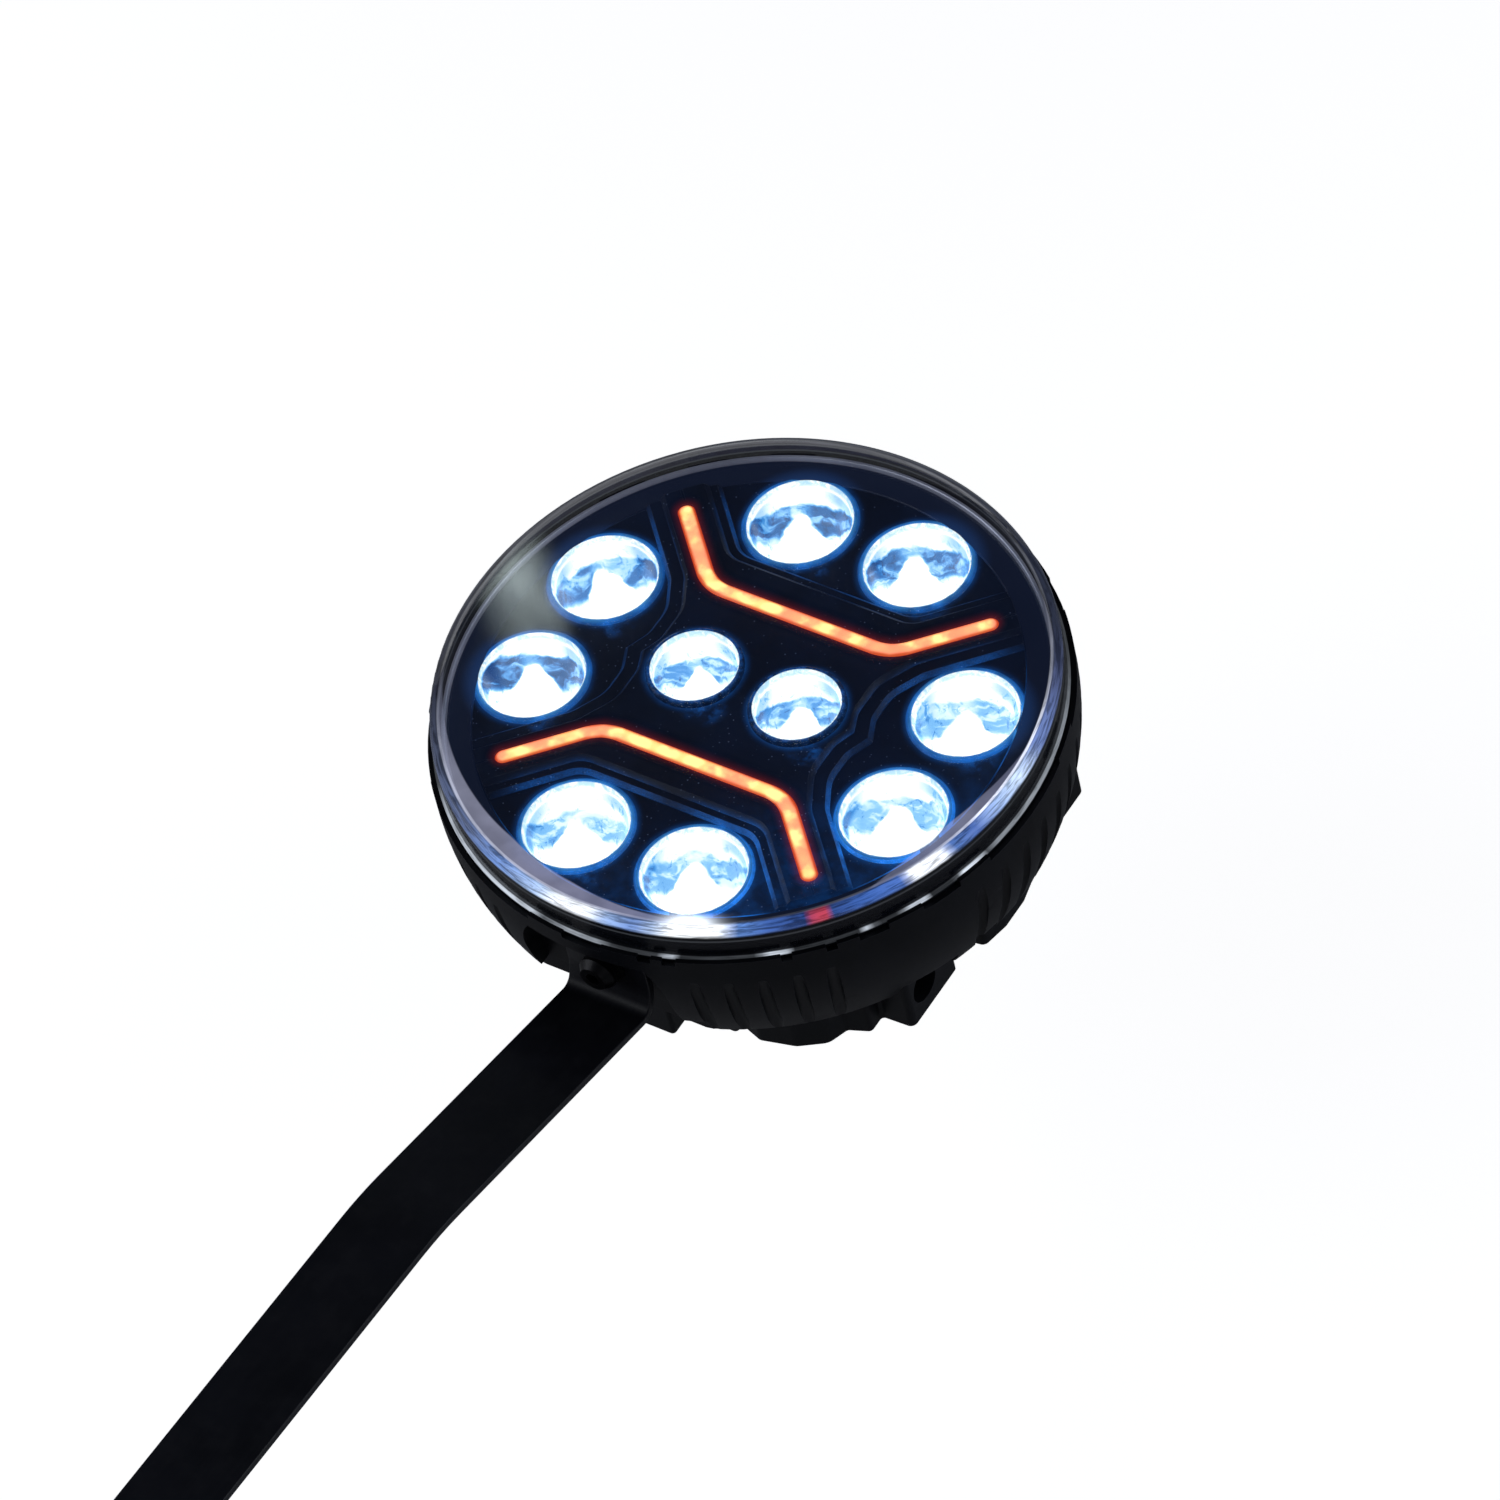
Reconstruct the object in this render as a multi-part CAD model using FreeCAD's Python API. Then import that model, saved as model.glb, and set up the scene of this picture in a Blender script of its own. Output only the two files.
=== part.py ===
import FreeCAD, Part
import math, os

# Round LED warning and work lamp with two amber light bars, on a long flat steel arm.
# Frame while modelling: the lamp's axis is Z and light leaves towards +Z.  z = 0 is the plane of
# the outer reflector rims, and the arm leaves towards -Y.  On export everything is moved so that
# the origin is midway between the arm foot's two bolt holes, on the foot's underside.
# All lengths are in millimetres, all angles in degrees.

Vector = FreeCAD.Vector
COS_45 = math.cos(math.radians(45))
DIAGONALS = (45, 135, 225, 315)

# ---------------------------------------------------------------- driving dimensions
CUP_RING_R = 77.6          # circle the outer reflectors stand on
CUP_HALF_ANGLE = 18.0      # half the angle between the two reflectors of a pair
CUP_R = 18.6               # clear radius of an outer reflector at its rim
INNER_CUP_X = 20.9         # the two middle reflectors stand at +-this on X
INNER_CUP_R = 15.3
INNER_RIM_Z = 5.0
CUP_BOTTOM_R = 5.2
CUP_WALL = 1.0

BOARD_TOP_Z = -30.9        # main LED board; the reflectors stand on it
BOARD_BOTTOM_Z = -32.5
WIRE_HOLE_Y = 22           # wire passage between compartment and cavity

HOUSING_R = 113.0
HOUSING_BOTTOM_Z = -72.0
SKIRT_BOTTOM_Z = -54.0
SKIRT_BOTTOM_R = 103.6
CAVITY_R = 96.0
CAVITY_FLOOR_Z = -33.0
LEDGE_Z = -12.0
LEDGE_R = 102.6
RIM_SEAT_Z = -9.0          # where the lens gasket lies
RIM_TOP_Z = -5.4
RIM_WALL_R = 111.2         # inside of the rim wall

LENS_R = 110.0
LENS_WALL = 2.4
LENS_TOP_Z = 8.5
LENS_EDGE_R = 3.2          # rounding of the lens's outer top edge
LENS_INNER_EDGE_R = 1.2
LENS_FLANGE_R = 111.0
LENS_FLANGE_TOP_Z = -5.0
LENS_FLANGE_BOTTOM_Z = -7.5

FACE_R = 99.0
FACE_TOP_Z = -1.0
FACE_BACK_Z = -3.0
FACE_STEP_R = 96.3         # the rim outside this radius is lowered
FACE_STEP_Z = -2.2
LOWER_TIER_Z = 1.0
PLATEAU_Z = 3.0
FACE_SCREW_R = 99.3        # circle of the face plate screws
FACE_EAR_R = 97.6          # circle of the screw ears

BAR_HALF_W = 3.1           # half width of an amber light bar
BAR_TOP_Z = 2.4
BAR_BOTTOM_Z = -6.5
BAR_Y = 34.8               # the straight middle of a light bar lies at +-this
BAR_BEND_X = 37.0
BAR_END = (62.2, 60.0)
BAR_BEND_R = 16.0
TROUGH_HALF_W = 7.2        # half width of the sloped trough at plateau level
AMBER_BOARD_TOP_Z = -7.5
AMBER_BOARD_BOTTOM_Z = -9.1

PIVOT_Z = -30.0            # height of the tilt pivot
PIVOT_FACE_Y = -98.5       # face of the pivot boss
PIVOT_BOLT_R = 4.0
FRICTION_WASHER_T = 1.0
ARM_W = 33.0
ARM_T = 3.0
ARM_FACE_Y = PIVOT_FACE_Y - FRICTION_WASHER_T - ARM_T    # outer face of the arm's pivot pad
SCOOP_R = 29.0

FOOT_HOLE_R = 4.5
FOOT_HOLE_SPACING = 40.0
FOOT_CENTRE_Y = -440.0
FOOT_END_Y = FOOT_CENTRE_Y - 34
FOOT_CORNER_R = 6.0
FOOT_TOP_Z = -5.0
FOOT_CENTRE = Vector(0, FOOT_CENTRE_Y, FOOT_TOP_Z - ARM_T)

SIDE_LUG_X = 90.0
SIDE_LUG_MIN_Y = -57.5
SIDE_POCKET_X = 86.5       # bottom of the pocket beside the lug
SIDE_POCKET_Y = (-28.0, -17.5)
SIDE_HOLE_Y = -47.0
SIDE_HOLE_Z = -58.5

COMPARTMENT_R = 42.0
COMPARTMENT_WALL_R = 57.0
COVER_R = 55.0
COVER_SEAT_Z = -70.0
COVER_FACE_Z = -73.0
GASKET_GROOVE_Z = -69.0
VENT_X, VENT_Y = -24, -18
DRIVER_TOP_Z = -46.0
DRIVER_BOTTOM_Z = -47.6

GLAND_Z = -82.0            # height of the cable's and the gland's axis
GLAND_HEX_R = 15.0 / 2 / math.cos(math.radians(30))      # corner radius, 15 across flats
CABLE_R = 3.4
CABLE_BEND_R = 25.0
CABLE_BEND_Y = 70          # both cable bends start at this Y
CABLE_CROSS_RUN = 18       # straight length between the bends
PLUG_X = -2 * CABLE_BEND_R - CABLE_CROSS_RUN


# ---------------------------------------------------------------- solids and wires
def cylinder(radius, bottom, top, x=0.0, y=0.0):
    return Part.makeCylinder(radius, top - bottom, Vector(x, y, bottom))


def cylinder_y(radius, y_min, y_max, x=0.0, z=0.0):
    return Part.makeCylinder(radius, y_max - y_min, Vector(x, y_min, z), Vector(0, 1, 0))


def ring(inner_r, outer_r, bottom, top, x=0.0, y=0.0):
    return cylinder(outer_r, bottom, top, x, y).cut(cylinder(inner_r, bottom - 1, top + 1, x, y))


def box(x_min, x_max, y_min, y_max, z_min, z_max):
    return Part.makeBox(x_max - x_min, y_max - y_min, z_max - z_min, Vector(x_min, y_min, z_min))


def side_box(side, near_x, far_x, y_min, y_max, z_min, z_max):
    """Box on the +X (side 1) or -X (side -1) half."""
    x_min, x_max = sorted((side * near_x, side * far_x))
    return box(x_min, x_max, y_min, y_max, z_min, z_max)


def hexagon_prism(corner_r, y_min, y_max, z):
    """Hexagonal prism along Y, with its axis at x = 0."""
    corners = [Vector(corner_r * math.cos(math.radians(60 * k)), y_min,
                      z + corner_r * math.sin(math.radians(60 * k))) for k in range(7)]
    return Part.Face(Part.makePolygon(corners)).extrude(Vector(0, y_max - y_min, 0))


def profile_lines(points):
    """Straight edges through (r, z) points, in the X-Z plane."""
    corners = [Vector(r, 0, z) for r, z in points]
    return [Part.makeLine(start, end) for start, end in zip(corners, corners[1:])]


def turn(edges):
    """Solid of revolution about Z of a closed profile in the X-Z plane."""
    return Part.Face(Part.Wire(edges)).revolve(Vector(0, 0, 0), Vector(0, 0, 1), 360).Solids[0]


def turn_polygon(points):
    return turn(profile_lines(points + points[:1]))


def polar(radius, angle, z=0.0):
    radians = math.radians(angle)
    return Vector(radius * math.cos(radians), radius * math.sin(radians), z)


def copies(shape, places):
    moved = []
    for place in places:
        copy = shape.copy()
        copy.translate(place)
        moved.append(copy)
    return moved


def compound_at(shape, places):
    return Part.makeCompound(copies(shape, places))


def cylinders_at(places, radius, bottom, top):
    return [cylinder(radius, bottom, top, place.x, place.y) for place in places]


def unit(vector):
    result = Vector(vector)
    result.normalize()
    return result


def corner_arc(before, corner, after, radius, leg_share):
    """Start, middle and end of the arc that rounds a corner.

    The radius shrinks where the arc would use more than leg_share of either leg.
    """
    leg_in = before - corner
    leg_out = after - corner
    dir_in, dir_out = unit(leg_in), unit(leg_out)
    half_angle = dir_in.getAngle(dir_out) / 2
    trim = min(radius / math.tan(half_angle), leg_share * leg_in.Length,
               leg_share * leg_out.Length)
    fitted_r = trim * math.tan(half_angle)
    middle = corner + unit(dir_in + dir_out) * (fitted_r / math.sin(half_angle) - fitted_r)
    return corner + dir_in * trim, middle, corner + dir_out * trim


def rounded_outline(points, z):
    """Closed wire through (x, y, corner radius) points, at height z."""
    corners = []
    for i, (x, y, radius) in enumerate(points):
        prev_x, prev_y, _ = points[i - 1]
        next_x, next_y, _ = points[(i + 1) % len(points)]
        corner = Vector(x, y, z)
        twice_area = prev_x * (y - next_y) + x * (next_y - prev_y) + next_x * (prev_y - y)
        if radius <= 0 or abs(twice_area) < 1e-3:
            corners.append((corner, None, corner))
        else:
            corners.append(corner_arc(Vector(prev_x, prev_y, z), corner,
                                      Vector(next_x, next_y, z), radius, 0.49))
    edges = []
    for i, (start, middle, end) in enumerate(corners):
        if middle is not None:
            edges.append(Part.Arc(start, middle, end).toShape())
        next_start = corners[(i + 1) % len(corners)][0]
        if (next_start - end).Length > 1e-6:
            edges.append(Part.makeLine(end, next_start))
    return Part.Wire(edges)


def prism(wire, height):
    return Part.Face(wire).extrude(Vector(0, 0, height))


def outline_prism(points, bottom, top):
    return prism(rounded_outline(points, bottom), top - bottom)


def mirror_quarter(quarter, flips):
    """Full outline from one quarter and the (x, y) signs of the four quarters in order.

    Every other quarter runs backwards and leaves out points on the X axis.
    """
    outline = []
    for i, (flip_x, flip_y) in enumerate(flips):
        points = [(flip_x * x, flip_y * y, radius) for x, y, radius in quarter]
        if i % 2:
            points = [point for point in reversed(points) if point[1] != 0]
        outline += points
    return outline


def ease_edges(shape, method, size, edges):
    """Apply makeFillet or makeChamfer.

    The shape stays as it is if the kernel fails or doesn't return one valid solid.
    """
    try:
        eased = getattr(shape, method)(size, edges)
        if eased.isValid() and len(eased.Solids) == 1:
            return eased
    except Exception:
        pass
    return shape


def chamfer_level(shape, z, size):
    """Chamfer every edge that lies flat at height z."""
    edges = [e for e in shape.Edges
             if abs(e.BoundBox.ZMin - z) < 1e-4 and abs(e.BoundBox.ZMax - z) < 1e-4]
    return ease_edges(shape, "makeChamfer", size, edges)


def sweep_round(path, radius, start, direction):
    """Round bar along a path."""
    circle = Part.Wire(Part.makeCircle(radius, start, direction))
    return path.makePipeShell([circle], True, False).Solids[0]


def wire_run(points, radius, bend_r=2.6):
    """Round electric wire through points, with short rounded corners."""
    points = [Vector(*point) for point in points]
    edges = []
    run_start = points[0]
    for before, corner, after in zip(points, points[1:], points[2:]):
        start, middle, end = corner_arc(before, corner, after, bend_r, 0.45)
        edges.append(Part.makeLine(run_start, start))
        edges.append(Part.Arc(start, middle, end).toShape())
        run_start = end
    edges.append(Part.makeLine(run_start, points[-1]))
    return sweep_round(Part.Wire(edges), radius, points[0], points[1] - points[0])


def cross_slot(screw, half_length, bottom, top):
    """Cut a cross recess into a screw that stands on the Z axis."""
    half_w = 0.3
    for half_x, half_y in ((half_length, half_w), (half_w, half_length)):
        screw = screw.cut(box(-half_x, half_x, -half_y, half_y, bottom, top))
    return screw


# ---------------------------------------------------------------- light bar centre line
def bar_wire(half_w, z, side):
    """Closed wire with round ends at half_w from a light bar's centre line.

    side is 1 for the bar at +Y and -1 for the one at -Y.
    """
    end_x, end_y = BAR_END
    along = unit(Vector(end_x - BAR_BEND_X, end_y - BAR_Y, 0))
    slant = math.atan2(along.y, along.x)
    trim = BAR_BEND_R * math.tan(slant / 2)
    # the bend's centre lies on the side away from the lamp's middle
    centre_x, centre_y = BAR_BEND_X - trim, BAR_Y + BAR_BEND_R
    bend_end_x, bend_end_y = BAR_BEND_X + along.x * trim, BAR_Y + along.y * trim
    across_x, across_y = -along.y * half_w, along.x * half_w
    mid_angle = -math.pi / 2 + slant / 2

    def bend_middle(radius):
        return (centre_x + radius * math.cos(mid_angle), centre_y + radius * math.sin(mid_angle))

    right = [(centre_x, BAR_Y - half_w),
             bend_middle(BAR_BEND_R + half_w),
             (bend_end_x - across_x, bend_end_y - across_y),
             (end_x - across_x, end_y - across_y),
             (end_x + along.x * half_w, end_y + along.y * half_w),
             (end_x + across_x, end_y + across_y),
             (bend_end_x + across_x, bend_end_y + across_y),
             bend_middle(BAR_BEND_R - half_w),
             (centre_x, BAR_Y + half_w)]
    left = [(-x, y) for x, y in reversed(right)]
    points = [Vector(x, side * y, z) for x, y in right + left]
    edges = []
    for i in range(0, len(points), 3):       # each three points are one arc
        edges.append(Part.makeLine(points[i - 1], points[i]))
        edges.append(Part.Arc(*points[i:i + 3]).toShape())
    return Part.Wire(edges)


def bar_prism(half_w, bottom, top, side):
    return prism(bar_wire(half_w, bottom, side), top - bottom)


def bar_stations(count, side):
    """Evenly spaced (x, y, angle) stations along a light bar's centre line."""
    end_x, end_y = BAR_END
    line = [(-end_x, end_y), (-BAR_BEND_X, BAR_Y), (BAR_BEND_X, BAR_Y), (end_x, end_y)]
    lengths = [math.dist(line[i], line[i + 1]) for i in range(3)]
    stations = []
    for k in range(count):
        distance = sum(lengths) * (k + 0.5) / count
        i = 0
        while distance > lengths[i]:
            distance -= lengths[i]
            i += 1
        fraction = distance / lengths[i]
        step_x = line[i + 1][0] - line[i][0]
        step_y = line[i + 1][1] - line[i][1]
        x = line[i][0] + fraction * step_x
        y = line[i][1] + fraction * step_y
        if min(math.dist((x, y), line[1]), math.dist((x, y), line[2])) < 3.0:
            y += 1.0                         # follow the rounded bend
        angle = math.degrees(math.atan2(step_y, step_x))
        stations.append((x, side * y, side * angle))
    return stations


# ---------------------------------------------------------------- shared places
OUTER_CUPS = [polar(CUP_RING_R, base + side * CUP_HALF_ANGLE)
              for base in (0, 90, 180, 270) for side in (-1, 1)]
INNER_CUPS = [Vector(INNER_CUP_X, 0, 0), Vector(-INNER_CUP_X, 0, 0)]
COVER_SCREWS = [polar(50.5, angle) for angle in range(0, 360, 60)]
BOARD_SCREWS = [polar(radius, angle) for radius in (57.0, 86.0) for angle in DIAGONALS]
FACE_SCREWS = [polar(FACE_SCREW_R, angle) for angle in DIAGONALS]
DRIVER_SCREWS = [Vector(side_x * 24, side_y * 20, 0) for side_x in (-1, 1) for side_y in (-1, 1)]
AMBER_SCREWS = {side: [Vector(x, side * y, 0) for x, y in (
    (0.0, BAR_Y + 4.9), (30.0, BAR_Y - 4.9), (-30.0, BAR_Y - 4.9), (58.6, 63.6), (-58.6, 63.6))]
    for side in (1, -1)}

# ---------------------------------------------------------------- arm
# (y, z, bend radius) along the strap's outer / upper face, from the pivot pad to the foot
ARM_LINE = [(ARM_FACE_Y, PIVOT_Z + ARM_W / 2, 0), (ARM_FACE_Y, -38.6, 12.0),
            (-105.7, -46.4, 4.0), (-229.0, -17.2, 150.0),
            (-388.0, FOOT_TOP_Z, 60.0), (FOOT_END_Y, FOOT_TOP_Z, 0)]


def offset_line(points, distance):
    """Shift an open line to the left of its direction, keeping its bends concentric."""
    directions = [unit(Vector(end[0] - start[0], end[1] - start[1], 0))
                  for start, end in zip(points, points[1:])]
    shifted = []
    for i, (y, z, radius) in enumerate(points):
        before = directions[max(i - 1, 0)]
        after = directions[min(i, len(directions) - 1)]
        normal = Vector(-before.y, before.x, 0)
        mitre = unit(normal + Vector(-after.y, after.x, 0))
        reach = distance / mitre.dot(normal)
        turns_left = before.x * after.y - before.y * after.x > 0
        new_radius = radius - distance if turns_left else radius + distance
        shifted.append((y + mitre.x * reach, z + mitre.y * reach,
                        max(new_radius, 0.3) if radius else 0.0))
    return shifted


def make_arm():
    section = rounded_outline(ARM_LINE + offset_line(ARM_LINE, ARM_T)[::-1], 0.0)
    # the section is drawn in X-Y: its x becomes Y and its y becomes Z
    section.Placement = FreeCAD.Placement(FreeCAD.Matrix(0, 0, 1, -ARM_W / 2,
                                                         1, 0, 0, 0,
                                                         0, 1, 0, 0,
                                                         0, 0, 0, 1))
    strap = Part.Face(section).extrude(Vector(ARM_W, 0, 0))
    # round top of the pivot pad
    pad_zone = box(-ARM_W, ARM_W, -112, -90, PIVOT_Z, 10)
    strap = strap.cut(pad_zone.cut(cylinder_y(ARM_W / 2, -120, -80, 0, PIVOT_Z)))
    # round corners of the foot
    for side in (-1, 1):
        corner_x = ARM_W / 2 - FOOT_CORNER_R
        corner_y = FOOT_END_Y + FOOT_CORNER_R
        block = side_box(side, corner_x, ARM_W / 2 + 5, FOOT_END_Y - 5, corner_y, -30, 10)
        strap = strap.cut(block.cut(cylinder(FOOT_CORNER_R, -31, 11, side * corner_x, corner_y)))
    strap = strap.cut(cylinder_y(6.05, -110, -90, 0, PIVOT_Z))
    for side in (-1, 1):
        hole_y = FOOT_CENTRE_Y + side * FOOT_HOLE_SPACING / 2
        strap = strap.cut(cylinder(FOOT_HOLE_R, -30, 10, 0, hole_y))
    long_edges = [e for e in strap.Edges
                  if abs(abs(e.BoundBox.XMin) - ARM_W / 2) < 1e-4
                  and abs(abs(e.BoundBox.XMax) - ARM_W / 2) < 1e-4
                  and e.BoundBox.XLength < 1e-4 and e.Length > 3.5]
    return ease_edges(strap, "makeFillet", 0.5, long_edges)


# ---------------------------------------------------------------- tilt pivot hardware
# Y of the outer faces of the stack, going outwards
BUSHING_Y = ARM_FACE_Y - 0.2
WASHER_Y = BUSHING_Y - 1.6
SPRING_WASHER_Y = WASHER_Y - 2.0


def pivot_ring(outer_r, hole_r, y_min, y_max):
    return cylinder_y(outer_r, y_min, y_max, 0, PIVOT_Z).cut(
        cylinder_y(hole_r, y_min - 1, y_max + 1, 0, PIVOT_Z))


def make_spring_washer():
    washer = pivot_ring(7.0, PIVOT_BOLT_R + 0.1, SPRING_WASHER_Y, WASHER_Y)
    gap = box(-0.6, 0.6, -120, -100, PIVOT_Z + 3, PIVOT_Z + 8)
    gap.rotate(Vector(0, -110, PIVOT_Z), Vector(0, 1, 0), 25)
    return washer.cut(gap)


def make_pivot_bolt():
    """Flanged bolt with a conical head and a hexagon socket."""
    head_y = SPRING_WASHER_Y
    bolt = cylinder_y(7.0, head_y - 1.6, head_y, 0, PIVOT_Z)
    bolt = bolt.fuse(Part.makeCone(5.0, 7.0, 2.8, Vector(0, head_y - 4.4, PIVOT_Z),
                                   Vector(0, 1, 0)))
    bolt = bolt.fuse(cylinder_y(PIVOT_BOLT_R, head_y - 0.5, -87.5, 0, PIVOT_Z))
    bolt = bolt.cut(hexagon_prism(2.9, head_y - 4.5, head_y - 1.5, PIVOT_Z))
    return bolt.removeSplitter()


# ---------------------------------------------------------------- housing
# (x, y, corner radius) of the lower blocks, the quarter from -Y round to +X
BLOCK_QUARTER = [
    (15.5, -95, 1.5), (15.5, -85, 1.5), (35, -85, 1.5), (35, -81.5, 1.0),
    (44, -84.5, 3.0), (57, -81.5, 6.0), (66.5, -75.5, 6.0), (69.5, -68.0, 2.0),
    (77.5, -65.0, 2.0), (77.5, -58.0, 1.5), (SIDE_LUG_X, SIDE_LUG_MIN_Y, 2.5),
    (SIDE_LUG_X, -29.0, 1.5), (SIDE_POCKET_X, SIDE_POCKET_Y[0], 1.0),
    (SIDE_POCKET_X, SIDE_POCKET_Y[1], 1.0), (94.0, -16.5, 2.5), (96.3, -6.0, 4.0)]

# (start, end) angles of the windows in the rim wall
RIM_WINDOWS = [
    (229, 259), (266.6, 274.5), (281.5, 284), (286, 288.5), (307, 309), (315, 317),
    (321, 326.5), (333.3, 341.2), (348.3, 372), (20, 40), (46, 54), (61, 69),
    (80, 110), (118, 126), (133, 141), (150, 180), (188, 200), (206, 222)]

SLOT_PITCH = 11.0
SLOT_W = 5.0
SLOT_TOP_Z = -42.0
SLOT_ZONE_R = 80.0

FLUTE_R = 2.4
FLUTE_COUNT = 60
FLUTE_GAPS = [(252, 288), (318, 342), (198, 222)]     # angles left without flutes


def make_bowl():
    shoulder_z = RIM_SEAT_Z - 3
    skirt = Part.Arc(Vector(HOUSING_R, 0, shoulder_z), Vector(110.2, 0, -36),
                     Vector(SKIRT_BOTTOM_R, 0, SKIRT_BOTTOM_Z)).toShape()
    rest = [(SKIRT_BOTTOM_R, SKIRT_BOTTOM_Z), (SKIRT_BOTTOM_R - 1.2, SKIRT_BOTTOM_Z - 1.0),
            (0, SKIRT_BOTTOM_Z - 1.0), (0, CAVITY_FLOOR_Z), (CAVITY_R, CAVITY_FLOOR_Z),
            (CAVITY_R, LEDGE_Z), (LEDGE_R, LEDGE_Z), (LEDGE_R, RIM_SEAT_Z),
            (RIM_WALL_R, RIM_SEAT_Z), (RIM_WALL_R, RIM_TOP_Z), (HOUSING_R, RIM_TOP_Z)]
    rim = profile_lines([(HOUSING_R, RIM_TOP_Z), (HOUSING_R, shoulder_z)])
    return turn(rim + [skirt] + profile_lines(rest))


def make_blocks():
    """Stepped blocks below the bowl, with corner bosses and side lugs."""
    outline = mirror_quarter(BLOCK_QUARTER, ((1, 1), (1, -1), (-1, -1), (-1, 1)))
    blocks = outline_prism(outline, HOUSING_BOTTOM_Z, SKIRT_BOTTOM_Z + 6)
    return chamfer_level(blocks, HOUSING_BOTTOM_Z, 1.0)


def make_pivot_backing():
    """Thick wall behind the scoop, and the part of the pivot boss inside the cavity."""
    wall = box(-36, 36, -97, -91.5, CAVITY_FLOOR_Z - 1, LEDGE_Z)
    boss = cylinder_y(9.5, -95, -84, 0, PIVOT_Z)
    return wall.common(cylinder(CAVITY_R + 0.5, CAVITY_FLOOR_Z - 1, LEDGE_Z)).fuse(
        boss.common(box(-20, 20, -95.5, -80, CAVITY_FLOOR_Z - 0.5, LEDGE_Z)))


def pivot_cuts():
    """Scoop the arm swings in, relief below the pivot boss, and bolt hole."""
    scoop = cylinder_y(SCOOP_R, -130, PIVOT_FACE_Y, 0, PIVOT_Z).fuse(
        box(-SCOOP_R, SCOOP_R, -130, PIVOT_FACE_Y, -80, PIVOT_Z))
    return [scoop.common(box(-60, 60, -130, PIVOT_FACE_Y, -80, -12.6)),
            box(-36, 36, -130, -97.0, -80, -46.0),
            cylinder_y(PIVOT_BOLT_R + 0.05, PIVOT_FACE_Y - 1, -86.0, 0, PIVOT_Z)]


def compartment_cuts():
    """Driver compartment, cover seat, gasket groove and wire passage."""
    return [cylinder(COMPARTMENT_R, HOUSING_BOTTOM_Z - 1, -38.0),
            cylinder(COVER_R + 0.3, HOUSING_BOTTOM_Z - 1, COVER_SEAT_Z),
            ring(43.5, 46.5, COVER_SEAT_Z - 1, GASKET_GROOVE_Z),
            cylinder(5.0, -45, -30, 0, WIRE_HOLE_Y)]


def side_lug_cuts():
    """Counterbored hole and facet on each side lug, and the pocket beside it."""
    cuts = []
    for side in (-1, 1):
        for radius, depth in ((7.0, 8.0), (4.25, 24.0)):
            cuts.append(Part.makeCylinder(
                radius, depth + 30, Vector(side * (SIDE_LUG_X + 30), SIDE_HOLE_Y, SIDE_HOLE_Z),
                Vector(-side, 0, 0)))
        cuts.append(side_box(side, SIDE_LUG_X, 130, SIDE_LUG_MIN_Y, -36.5, -80, -49.5))
        cuts.append(side_box(side, SIDE_POCKET_X, 130, *SIDE_POCKET_Y, -80, -50.0))
    return cuts


def rim_window_cuts():
    cuts = []
    for start, end in RIM_WINDOWS:
        sector = Part.makeCylinder(120, 6, Vector(0, 0, RIM_SEAT_Z + 1.2), Vector(0, 0, 1),
                                   end - start)
        sector.rotate(Vector(0, 0, 0), Vector(0, 0, 1), start)
        cuts.append(sector.cut(cylinder(105, -20, 5)))
    return cuts


def cooling_slots():
    """Parallel slots along Y in the back, kept clear of the compartment wall."""
    zone = cylinder(SLOT_ZONE_R, -90, SLOT_TOP_Z).cut(cylinder(COMPARTMENT_WALL_R, -95, -30))
    slots = []
    for k in range(-7, 8):
        x = k * SLOT_PITCH
        slot = box(x - SLOT_W / 2, x + SLOT_W / 2, -85, 85, -90, SLOT_TOP_Z)
        slots += slot.common(zone).Solids
    return slots


def skirt_flutes():
    """Faint upright flutes round the skirt."""
    flutes = []
    spacing = 360 / FLUTE_COUNT
    for k in range(FLUTE_COUNT):
        angle = spacing * (k + 0.5)
        if any(start < angle < end for start, end in FLUTE_GAPS):
            continue
        top = polar(112.6 + FLUTE_R - 0.15, angle, -17.0)
        bottom = polar(SKIRT_BOTTOM_R + FLUTE_R - 0.75, angle, SKIRT_BOTTOM_Z - 2)
        axis = bottom - top
        flutes.append(Part.makeCylinder(FLUTE_R, axis.Length, top, axis))
    return flutes


def make_housing():
    housing = make_bowl().fuse(make_blocks())
    housing = housing.fuse(make_pivot_backing())
    housing = housing.cut(pivot_cuts() + compartment_cuts()
                          + cylinders_at(COVER_SCREWS, 2.0, -71, -58)
                          + cylinders_at(BOARD_SCREWS, 1.5, -41.0, -32)
                          + cylinders_at(FACE_SCREWS, 1.5, -21, LEDGE_Z + 1)
                          + side_lug_cuts() + rim_window_cuts())
    housing = housing.cut(cooling_slots())
    housing = housing.cut(skirt_flutes())
    housing = housing.removeSplitter()
    # driver board standoffs on the compartment's ceiling
    housing = housing.fuse(cylinders_at(DRIVER_SCREWS, 3.5, DRIVER_TOP_Z, -37.5))
    housing = housing.cut(cylinders_at(DRIVER_SCREWS, 1.25, -47, -40))
    return housing.removeSplitter()


# ---------------------------------------------------------------- lens and trim ring
def quarter_arc_points(edge_r, edge_z, radius):
    """Arc points that round the corner (edge_r, edge_z), from its top to its side."""
    return [Vector(edge_r - radius, 0, edge_z),
            Vector(edge_r - radius + radius * COS_45, 0, edge_z - radius + radius * COS_45),
            Vector(edge_r, 0, edge_z - radius)]


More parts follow.
